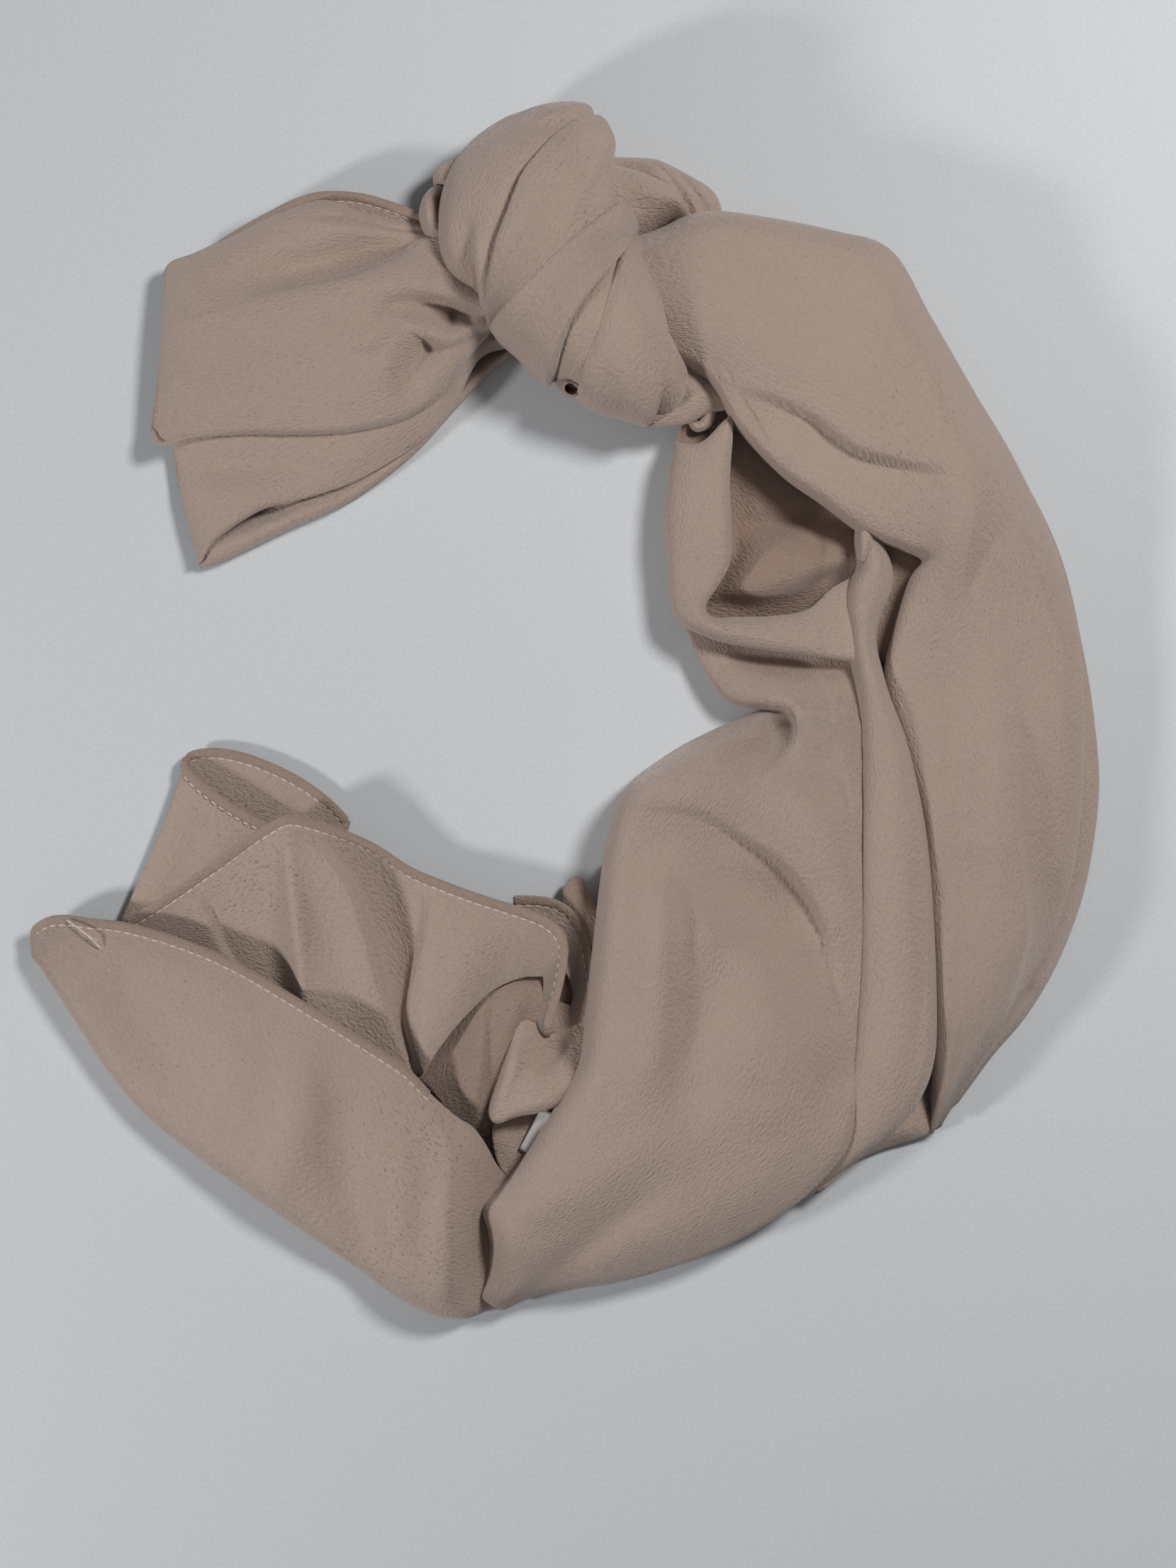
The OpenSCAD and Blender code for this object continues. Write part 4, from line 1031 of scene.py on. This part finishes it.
def belly():
    stations = [
        [(38, 27), (66, 25), (93, 24)], [(41.5, 18.5), (68, 17), (94, 16)],
        [(46, 10.5), (70, 10), (94.5, 10)], [(51, 4.6), (74, 5.2), (95, 5)],
        [(57, 2.6), (77, 2.8), (95.5, 2)], [(61, 1.9), (79, 1.2), (96, 0)],
        [(62, 1.1), (80, -0.6), (96.3, -2)], [(60.6, 0.4), (80, -2), (96.5, -4)],
        [(54.5, -1.6), (77, -4.4), (97, -7)], [(46, -5.4), (72, -9), (97, -11)],
        [(37, -9.9), (67, -13.5), (97, -16)], [(29, -15), (63, -19), (97, -22)],
        [(20, -22), (59, -27), (97, -30)], [(15, -31), (56, -37), (97, -40)],
        [(12, -45), (54, -51), (97, -55)], [(10, -60), (53, -66), (96.5, -71)],
        [(8, -78), (52, -84), (96, -89)], [(6, -97), (50, -104), (94.5, -109)],
        [(4.5, -108), (48, -117), (92, -123)], [(0, -118), (45, -128), (89, -135)],
        [(-5.5, -127.5), (39, -137.5), (82, -144)], [(-11.5, -137), (31, -147), (72.5, -153)],
        [(-17.5, -145.5), (23, -154), (62, -160.3)], [(-22, -150.5), (15, -160), (50, -166.8)],
        [(-26.2, -155.4), (6, -165), (36, -172.4)], [(-24.6, -162), (-3, -170.5), (18, -177.8)],
        [(-23.7, -168), (-11, -174.5), (1, -180.6)], [(-24.6, -176), (-17, -180), (-10.5, -182.8)],
        [(-27.4, -184), (-24, -186), (-21, -187.6)]]
    tops = [
        [9, 10, 11, 11, 11], [10, 12, 12, 12, 12], [13, 15, 16, 16, 15], [15, 18, 19, 18, 16],
        [16, 19, 20, 19, 16], [17, 20, 20, 19, 16], [18, 20, 21, 19, 16], [19, 21, 21, 20, 16],
        [21, 23, 22, 20, 16], [23, 25, 23, 20, 16], [26, 28, 25, 21, 16], [28, 30, 27, 21, 16],
        [31, 33, 28, 23, 16], [31, 33, 28, 23, 16], [31, 33, 28, 23, 16], [31, 33, 28, 23, 16],
        [30, 33, 28, 23, 16], [29, 32, 30, 25, 16], [28, 31, 29, 26, 19], [27, 30, 28, 25, 18],
        [26, 29, 27, 24, 17], [25, 28, 26, 23, 16], [24, 27, 25, 22, 15], [23, 26, 24, 21, 15],
        [22, 25, 24, 20, 14], [21, 24, 23, 19, 13], [20, 22, 21, 17, 12], [18, 19, 18, 14, 11],
        [14, 14, 13, 11, 9]]
    folds = [
        ("ledge", 18, [
            (18, -30, 0), (30, -29, -1), (42, -31, -2.4), (54, -38, -4), (66, -46, -5.4), (74, -55, -6),
            (79.6, -65, -5.6), (82.6, -76, -3.6), (85, -88, -1.6), (88, -100, 0)][::-1]),
        ("soft", 14, [
            (10, -36, -1), (24, -42, -4), (40, -44, -5.4), (54, -52, -5.4), (64, -62, -4.4), (72, -74, -2)]),
        ("soft", 10, [(56, -26, 0), (70, -36, 1.6), (82, -50, 2), (87, -66, 1.4)]),
        ("soft", 5, [(24, -44, -0.6), (22.6, -52, -1.2), (22, -64, -1.4), (20, -84, -0.6)]),
        ("soft", 4, [(33.6, -44, 0), (35, -56, -1.2), (36.4, -68, -1.6), (36.6, -80, -0.6)]),
        ("soft", 6, [(28, -52, 0), (28.6, -66, 2.2), (28, -84, 2.4), (27, -104, 1.6), (25, -120, 0)]),
        ("soft", 9, [(44, -70, 0), (42, -92, -3.6), (38, -114, -3), (34, -134, 0)]),
        ("soft", 14, [(54, -72, 0), (60, -90, 3), (62, -110, 2.4), (58, -132, 0)]),
        ("soft", 12, [(86, -100, -1), (82, -116, -2.4), (72, -132, -1.6)]),
        ("soft", 9, [(62, -14, 0), (72, -26, 1.2), (82, -42, 1.6), (87, -60, 1.2)]),
        ("soft", 6, [(57, -2, -3), (61.6, -2.4, -8), (65.6, -5, -11), (63, -10, -8), (57, -13, -3)]),
        ("soft", 4, [(50, 18.6, -1), (58, 18, -3.6), (72, 16.6, -4), (80, 15, -1.6), (88, 14, 0)]),
        ("ledge", 6, [
            (79, 13, 0), (81, 6, 1), (83.4, -6, 1.2), (85.4, -18, 1.2), (88, -32, 0.8), (90, -42, 0)]),
        ("soft", 5, [(-24, -182, 0), (-10, -177, -1.6), (4, -168, -3), (20, -155, -1.6), (34, -148, 0)]),
        ("soft", 7, [(-16, -158, 1.0), (2, -148, 1.8), (22, -138, 1.4), (38, -130, 0)]),
        ("soft", 9, [(14, -168, 1.6), (30, -160, 2.6), (44, -156, 1.2)]),
        ("soft", 3.6, [(-25, -170, 0), (-22, -160, -1), (-14, -148, -1), (-6, -138, -0.6)])]
    cloth(
        "belly_drape", stretch(stations, tops, (9, 10), 0.8, (11, 6), folds, (0, 3), 6, rough=0.9),
        nodes=["belly_drape", "inner_turn", "tail_gather"])
    lip = [
        [(51, 4.4, 7), (53, 7, 11), (54, 10, 6)], [(56.5, 2.8, 10), (58, 6, 14), (60, 10, 7)],
        [(61.6, 2.7, 13), (63, 5.6, 16), (65, 10.5, 8)], [(67, 2.5, 16), (69.6, 5, 17.6), (73, 10, 10)],
        [(70.8, 0.6, 18), (74.6, 2, 18.6), (81, 6, 12)], [(71.9, -4.4, 19), (77, -5, 19.6), (84, -3, 14)],
        [(70.8, -9.8, 20), (76, -12, 20.4), (83, -15, 15)],
        [(67.6, -14, 21), (72, -18.4, 21.4), (79, -25, 16)],
        [(62, -17.8, 22.4), (66, -23, 22.6), (72, -33, 17)],
        [(55, -20.6, 23.4), (58, -26, 23), (63, -36, 18)]]
    cloth("inner_turn_lip", net(lip, step=1.1), closed=False)


# ---------------------------------------------------------------- the tail

def tail_flap():
    stations = [
        [(-168.6, -72.4, 4), (-168.7, -73.4, 3.6), (-168.8, -75.5, 3)],
        [(-168.4, -69.4, 7.4), (-168.6, -72, 6.6), (-168.8, -76.4, 3)],
        [(-166.4, -66.2, 9.4), (-167.4, -71, 8.6), (-167.9, -77.6, 3)],
        [(-161.4, -63.8, 10.8), (-163.6, -72, 10.6), (-165.4, -80.6, 3)],
        [(-156, -63.6, 11.6), (-159, -74, 12), (-162.6, -85, 3)],
        [(-150, -64.5, 12), (-154.5, -77, 13), (-159.3, -90, 3)],
        [(-140, -65.6, 12.5), (-145.5, -83.5, 15), (-151.7, -102, 3)],
        [(-130, -68, 13), (-137, -90.5, 16), (-144, -113.5, 3)],
        [(-120, -71.2, 13.5), (-127, -97.5, 17), (-135.2, -124, 3)],
        [(-110, -75.2, 14), (-117, -104, 18), (-125, -132.8, 3)],
        [(-100, -80.2, 14.5), (-106.5, -111, 20), (-113.5, -141.5, 3)],
        [(-90, -86, 15.5), (-95.5, -118, 21), (-101.5, -149.8, 3)],
        [(-80, -92, 16.5), (-84, -125, 22), (-89, -158.6, 3)],
        [(-70, -98.2, 16.5), (-73, -132, 22), (-77, -167, 3)],
        [(-60, -104.6, 16), (-62.5, -139.5, 22), (-66, -174.5, 3)],
        [(-51, -110.8, 15.5), (-53, -146.5, 23), (-56, -182, 3)],
        [(-43, -119, 15), (-45.5, -153, 24), (-47, -187.3, 3)],
        [(-35.5, -125.8, 14.5), (-37.5, -157, 24), (-39.5, -190, 3)],
        [(-29.6, -130, 13), (-31.5, -158, 20), (-33, -190.4, 3)],
        [(-25.6, -136, 10), (-25.4, -160, 13), (-28, -189, 3)],
        [(-22, -143, 6), (-20, -162, 8), (-22, -186, 2.5)],
        [(-16, -149, 3), (-14, -164, 5), (-16, -182, 2)]]
    rows = []
    for hem_point, crown, outer in stations:
        hem_point, crown, outer = (np.array(v, float) for v in (hem_point, crown, outer))
        quarter_in = 0.5 * (hem_point + crown) + [0, 0, 0.18 * (crown[2] - hem_point[2])]
        shoulder = crown + (outer - crown) * 0.62
        shoulder[2] = outer[2] + (crown[2] - outer[2]) * 0.86
        brow = crown + (outer - crown) * 0.93
        brow[2] = outer[2] + (crown[2] - outer[2]) * 0.5
        turned = crown + (outer - crown) * 0.9
        turned[2] = 0.9
        rows.append([hem_point, quarter_in, crown, shoulder, brow, outer, turned])
    folds = [
        ("soft", 11, [
            (-146, -80, 0), (-138, -92, -3.6), (-128, -104, -4.6), (-116, -112, -2.6), (-100, -116, 0)]),
        ("soft", 7, [(-142, -74, 0.8), (-124, -80, 1.2), (-106, -88, 1.0), (-88, -98, 0)]),
        ("soft", 8, [(-84, -98, 0), (-82, -114, 2.2), (-86, -134, 2.4), (-92, -148, 0.8)]),
        ("soft", 8, [
            (-70, -110, 0), (-71, -124, -2.4), (-68, -146, -4.4), (-62, -164, -3.8), (-57, -178, -0.8)]),
        ("soft", 6, [(-48, -130, 0), (-52, -146, 2.4), (-53, -164, 2.8), (-49, -180, 1.2)]),
        ("soft", 5, [(-40, -126, 0.8), (-36, -134, 1.6), (-37, -152, 2), (-38, -168, 1.8), (-38, -184, 0)]),
        ("soft", 4, [(-27, -142, -0.6), (-26.4, -156, -2.4), (-28, -170, -3.4), (-32, -182, -2.6)])]
    grid = net(rows, folds, 0.9, 10)
    cloth(
        "tail_flap", grid, "tail_tip",
        ["tail_flap", "tip_upper_layer", "tail_under_layer", "tip_under_layer"], closed=False)
    at = lengths(grid[:, 0])
    hem(
        "tail_flap_hem", grid[(at > 0.5) & (grid[:, 0, 0] < -43)], "tail_tip",
        ["tail_flap_hem", "tip_hem"], ["tail_flap_hem_thread", "tip_hem_thread"])


def tail_middle():
    stations = [
        [(-140.5, -65.5, 7), (-137, -70, 6), (-132, -74, 5)],
        [(-130, -59.5, 8.5), (-124, -68, 6), (-116, -80, 4)],
        [(-120, -52.8, 10), (-113, -66, 6), (-104, -86, 4)],
        [(-110, -46, 11.5), (-104, -64, 7.5), (-97, -92, 4)],
        [(-100, -39, 13.5), (-96, -62, 9.5), (-90, -97, 4)],
        [(-92.5, -34.3, 15.5), (-90, -58, 12.5), (-85, -100, 6)],
        [(-87, -32, 16.5), (-85, -60, 15), (-80, -102, 9)],
        [(-80, -33.4, 15), (-77, -62, 14), (-73, -105, 9)],
        [(-70, -36.8, 12.5), (-68, -66, 9), (-64, -108, 7)],
        [(-60, -41.6, 10), (-57.5, -68, 4.5), (-55, -111, 4)],
        [(-50, -48, 9), (-50.5, -74, 4), (-50, -114, 4)],
        [(-40, -52.3, 10.5), (-43, -76, 8), (-45.4, -113.5, 8)],
        [(-30, -56, 11.5), (-35, -76, 10), (-40.4, -105.4, 10)],
        [(-20, -59.2, 12), (-25, -74, 11), (-33.4, -96.4, 11)],
        [(-12, -61.8, 12.5), (-16, -72, 11.5), (-24, -87.4, 11)],
        [(-5.5, -64.6, 13), (-9, -72, 12), (-15, -83, 11)],
        [(-1, -69.5, 13.5), (-4.6, -75, 12), (-9.6, -82.4, 11)],
        [(-0.2, -77, 13.5), (-3.4, -79.4, 12), (-7.4, -83, 10.6)],
        [(-2.2, -87.5, 13.5), (-4.6, -88.6, 12), (-7.6, -90, 10)],
        [(-4.8, -96.5, 13), (-6.8, -97.4, 12), (-9.4, -98.4, 9)],
        [(-3.6, -99.6, 12), (-6, -100.8, 11), (-8.6, -101.6, 8)]]
    folds = [
        ("sharp", 3.4, [
            (-87.2, -32, 1.4), (-86.6, -46, 3.4), (-85.4, -60, 4.2), (-84, -74, 4.2), (-82.6, -88, 3.4),
            (-81, -98, 1.4)]),
        ("soft", 6, [(-98, -46, 0), (-94, -62, -1.4), (-90, -80, -1.6), (-88, -90, -1)]),
        ("soft", 6, [(-80, -44, 0), (-77, -60, -1.4), (-74, -76, -1), (-72, -90, 0)]),
        ("ledge", 9, [
            (-51, -107, 3), (-54.6, -96, 5), (-58, -86, 6.4), (-61.4, -72, 7.4), (-66, -57.4, 6.6),
            (-71.4, -48, 4.6), (-77.4, -41, 2), (-83, -36, 0)]),
        ("ledge", 11, [
            (-42, -50, 0.6), (-43.6, -58, 2.4), (-45, -68, 3.4), (-48, -80, 4), (-50.4, -92, 4.2),
            (-50, -101, 4), (-46, -112, 2.6)]),
        ("ledge", 8, [
            (-127, -57, 0), (-118, -58, 1.6), (-113, -62, 2), (-108, -74, 2), (-100, -84, 1.4),
            (-92, -90, 0)][::-1]),
        ("soft", 6, [(-26, -62, 0), (-30, -74, 1.4), (-36, -88, 1.6), (-41, -102, 1)]),
        ("soft", 5, [(-13, -68, 0), (-19, -76, -1.0), (-26, -86, -0.6)])]
    grid = net(stations, folds, 0.6, 9)
    cloth("tail_middle_fold", grid, nodes=["tail_middle_fold"], closed=False)
    hem("tail_middle_hem", grid[1:-1], "root", ["tail_middle_hem"], ["tail_middle_hem_thread"])


def tail_back():
    stations = [
        [(-86, -38, 7), (-92, -46, 7), (-98, -56, 6)], [(-94, -34.6, 7.5), (-102, -46, 7), (-109, -60, 6)],
        [(-101, -31.2, 8), (-110, -46, 7.5), (-118, -64, 6)],
        [(-108, -26.8, 8), (-117, -45, 7.5), (-127, -66, 6)],
        [(-114.5, -22, 7.8), (-123.5, -43, 7.4), (-135, -66.5, 5.6)],
        [(-119, -17.6, 6.8), (-129, -41, 6.2), (-140.5, -65.5, 4.6)],
        [(-120.6, -14.6, 5), (-130.2, -40.3, 4.4), (-141, -64.8, 3.4)],
        [(-118.5, -12, 3.4), (-127, -39, 2.8), (-137, -63, 2)],
        [(-112, -10.9, 2.8), (-119, -38, 2.2), (-128, -60, 1.6)],
        [(-104, -12, 2.6), (-109, -37, 2), (-116, -58, 1.5)],
        [(-95, -15, 2.6), (-99, -36, 2), (-104, -56, 1.5)],
        [(-85, -20, 2.6), (-88, -38, 2), (-92, -54, 1.5)],
        [(-76, -26.4, 2.4), (-79, -42, 2), (-82, -54, 1.5)],
        [(-68.5, -34, 2.2), (-72, -44, 2), (-75, -52, 1.5)]]
    grid = net(stations, [("soft", 5, [(-112, -28, 0), (-120, -46, -1.0), (-128, -60, -0.8)])], 0.3, 8)
    cloth("tail_back_fold", grid, nodes=["tail_back_fold"], closed=False)
    hem("tail_back_hem", grid[1:-1], "root", ["tail_back_hem"], ["tail_back_hem_thread"])


def tail_tucks():
    left = [
        [(-50, -114, 3), (-44.6, -117, 6), (-38, -125, 6), (-33, -133, 3)],
        [(-44, -104, 3), (-38, -110, 8), (-31, -121, 9), (-25, -133, 3)],
        [(-36, -92, 3), (-31, -100, 9), (-27, -114, 11), (-22, -131, 3)],
        [(-26, -82, 3), (-24, -91, 10), (-21, -106, 11), (-17, -129, 3)],
        [(-15, -79, 3), (-14.6, -88, 11), (-14, -102, 9), (-10, -126, 3)],
        [(-6, -79, 3), (-7, -88, 10), (-6, -101, 7), (-4, -122, 3)]]
    cloth(
        "tail_left_tuck", net(
            left,
            [
                ("soft", 3, [(-38, -112, 0), (-32, -116, 1.2), (-28, -124, 0.8)]),
                ("ledge", 6, [(-24, -88, 0), (-25.4, -98, 1.6), (-26, -110, 1.8), (-27, -122, 1.2)][::-1]),
                ("soft", 3, [(-13, -86, 0), (-16, -92, 1.6), (-18.6, -100, 1.6), (-21, -112, 0)])],
            0.4, step=1.2),
        # darker crepe: painted shade on the tuck
        nodes=["tail_left_tuck"], closed=False, material="crepe_painted_shade")
    right = [
        [(-13, -86), (-18.6, -106), (-25, -124.6)], [(-10, -87), (-15, -107), (-22.6, -128.4)],
        [(-5, -90), (-10, -108), (-15, -126)], [(0, -92), (-3, -108), (-6.4, -124.2)],
        [(5, -94), (4, -107), (3, -119)], [(9, -100), (9.4, -106), (10, -112)]]
    cloth(
        "tail_right_tuck", stretch(
            right,
            [
                [6, 9, 14, 14, 11], [6, 9, 15, 16, 14], [6, 8, 13, 17, 15], [6, 8, 12, 17, 15],
                [6, 8, 12, 16, 14], [6, 8, 11, 13, 12]],
            (6, 8), 1, (3, 3),
            [
                ("soft", 4, [(2, -104, -2), (-3, -106.4, -4), (-7, -108.4, -2.6), (-11, -110, 0)]),
                ("soft", 3, [(-14, -92, 1), (-17.4, -106, 2.4), (-21.6, -120, 1.6)]),
                ("soft", 3, [(-20, -126, 1), (-12, -122.6, 1.8), (-5, -121, 1.4)])],
            (3, 0), 6, rough=0.3, step=1.1),
        nodes=["tail_right_tuck"])
    neck = [
        [(-23.4, -126, 6), (-23.6, -134, 6), (-21.6, -142.6, 5), (-18, -147.6, 4)],
        [(-18, -123, 5), (-18, -132, 5), (-16, -141, 4), (-13, -147, 4)],
        [(-10, -120, 4), (-9, -130, 3.4), (-7, -139, 3.4), (-5, -146, 3)],
        [(0, -118, 3.4), (1, -128, 3.4), (3, -138, 3.4), (4, -146, 3)]]
    cloth(
        "tail_neck_fold",
        net(neck, [("soft", 3, [(-21, -128, 0), (-19, -136, 1), (-16, -144, 0.6)])], step=1.2),
        closed=False)
    under = [
        [(-18, -66, 2), (-20, -90, 2), (-28, -116, 2), (-34, -132, 1.6), (-32, -150, 1.2)],
        [(-9, -64, 2), (-8, -88, 2), (-12, -114, 2), (-22, -134, 1.6), (-20, -158, 1.2)],
        [(0, -65, 2), (6, -88, 2), (2, -112, 2), (-8, -132, 1.6), (-8, -156, 1.2)]]
    # darker crepe: painted shade on the layer under the neck
    cloth("tail_neck_under", net(under), closed=False, material="crepe_painted_shade")
    behind = [
        [(-17, -57.5, 5), (-17, -66, 4), (-17, -74, 3)], [(-9, -57.6, 6), (-9, -66, 5), (-9, -76, 4)],
        [(-3, -59, 7), (-3, -68, 6), (-4, -78, 5)], [(2.2, -63, 8), (1, -70, 7), (-1, -80, 5)],
        [(6.5, -71, 9), (3, -75, 8), (1, -84, 5)], [(8.2, -79, 9), (5, -82, 8), (2, -90, 5)],
        [(9.4, -88, 9), (5, -91, 8), (-1, -97, 6)], [(9.8, -98, 8), (4, -100, 7), (-3, -103, 5)]]
    grid = net(behind)
    cloth("tail_end_fold", grid, closed=False)
    hem("tail_end_hem", grid, "root", [], [])
    corner = [
        [(0.8, -52.4, 5), (2.6, -51.4, 6), (4.6, -52, 5)], [(-1.5, -56.5, 5), (3, -57, 8), (8, -59, 7)],
        [(-1, -63, 5), (5, -65, 9), (12, -67, 9)], [(1, -71, 5), (8, -73, 9), (15, -75, 9)]]
    # darker crepe: painted shade on the tucked corner
    cloth("tail_corner_point", net(corner), closed=False, material="crepe_painted_shade")


# ---------------------------------------------------------------- label and loose thread

def care_label():
    """A blank folded label that comes out from under the drape, with its seam."""
    low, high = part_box("care_label")
    seam = np.array([8.0, -141.0])
    half = 7.4
    way = math.radians(152)
    out = np.array([math.cos(way), math.sin(way)])
    side = np.array([-out[1], out[0]])
    z = (low.z + high.z) / 2 / MM
    rows = []
    for far in (0.3, 6, 12, 17, 20.5, 22.2):
        wave = 0.15 * math.sin(far * 0.5)
        rows.append([[*(seam + out * far + side * w), z + wave] for w in (-half, 0, half)])
    obj = grid_object("care_label_strip", net(rows, step=1.2), shell=False)
    shell = obj.modifiers.new("label_thickness", "SOLIDIFY")
    shell.thickness = 0.7 * MM
    shell.offset = 0
    obj.data.materials.append(MATERIALS["label"])
    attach(obj, "care_label")
    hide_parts("care_label")
    line = np.array([[*(seam + out * 1.2 + side * w), z + 0.9] for w in np.linspace(-7, 7, 12)])
    stitches("label_seam_stitches", line, "root", ["label_seam_thread"])


def thread_end():
    """A loose end of sewing thread at the tip of the tail."""
    whole = [(-157, -64.6, 13.4), (-153.4, -67, 14.8), (-150.4, -69.2, 15.4), (-147, -71, 15.4)]
    fork = [(-150.4, -69.2, 15.4), (-148.2, -71.2, 15.8), (-146, -73.4, 15.6)]
    for name, line in (("thread_end", whole), ("thread_end_fork", fork)):
        obj = grid_object(name, tube(smooth_line(line, 0.6), 0.24, 0.24, sides=8), closed=True, shell=False)
        obj.data.materials.append(MATERIALS["thread"])
        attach(obj, "tail_tip")
        if name == "thread_end":
            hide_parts("thread_end")


# ---------------------------------------------------------------- the scene

CAMERA_UP = 1.25        # assumed height of the camera, in metres like the rest here
SENSOR = 36
ROOM_LIGHT = 0.14
PLANE_UP = 0.015        # height of the plane that the view is fitted to
PHOTO_LONG = 0.4916     # long side of the view on that plane
PHOTO_MIDDLE = (0.0066, -0.0219)


def camera():
    data = bpy.data.cameras.new("camera")
    data.sensor_fit = "VERTICAL"
    data.sensor_height = SENSOR
    data.lens = SENSOR * (CAMERA_UP - PLANE_UP) / PHOTO_LONG
    data.clip_end = 20
    obj = bpy.data.objects.new("camera", data)
    obj.location = (*PHOTO_MIDDLE, CAMERA_UP)
    bpy.context.scene.collection.objects.link(obj)
    bpy.context.scene.camera = obj


def lamp(name, place, towards, size, power, colour):
    data = bpy.data.lights.new(name, "AREA")
    data.shape = "DISK"
    data.size = size
    data.energy = power
    data.color = colour
    obj = bpy.data.objects.new(name, data)
    obj.location = place
    way = np.array(towards, float) - np.array(place, float)
    obj.rotation_euler = (
        math.acos(-way[2] / np.linalg.norm(way)), 0, math.atan2(way[1], way[0]) - math.pi / 2)
    bpy.context.scene.collection.objects.link(obj)


def studio():
    lamp("key", (0.57, 0.46, 1.0), (0.05, 0, 0), 0.26, 8.7, (1.0, 0.98, 0.96))
    lamp("low", (-0.92, -0.42, 0.52), (0, 0, 0), 0.14, 5.8, (0.99, 0.98, 0.98))
    world = bpy.data.worlds.new("room")
    world.use_nodes = True
    world.node_tree.nodes["Background"].inputs["Color"].default_value = (0.93, 0.96, 1.0, 1)
    world.node_tree.nodes["Background"].inputs["Strength"].default_value = ROOM_LIGHT
    bpy.context.scene.world = world
    bpy.context.scene.view_settings.view_transform = "Standard"


def floor():
    mesh = bpy.data.meshes.new("floor")
    half = 1.5
    corners = [(-half, -half, 0), (half, -half, 0), (half, half, 0), (-half, half, 0)]
    mesh.from_pydata(corners, [], [(0, 1, 2, 3)])
    obj = bpy.data.objects.new("floor", mesh)
    obj.data.materials.append(MATERIALS["table"])
    bpy.context.scene.collection.objects.link(obj)


camera()
studio()
floor()
loop_layers()
knot_pleats()
knot_curl()
knot_turns()
band_layers()
pocket()
belly()
tail_flap()
tail_middle()
tail_back()
tail_tucks()
care_label()
thread_end()
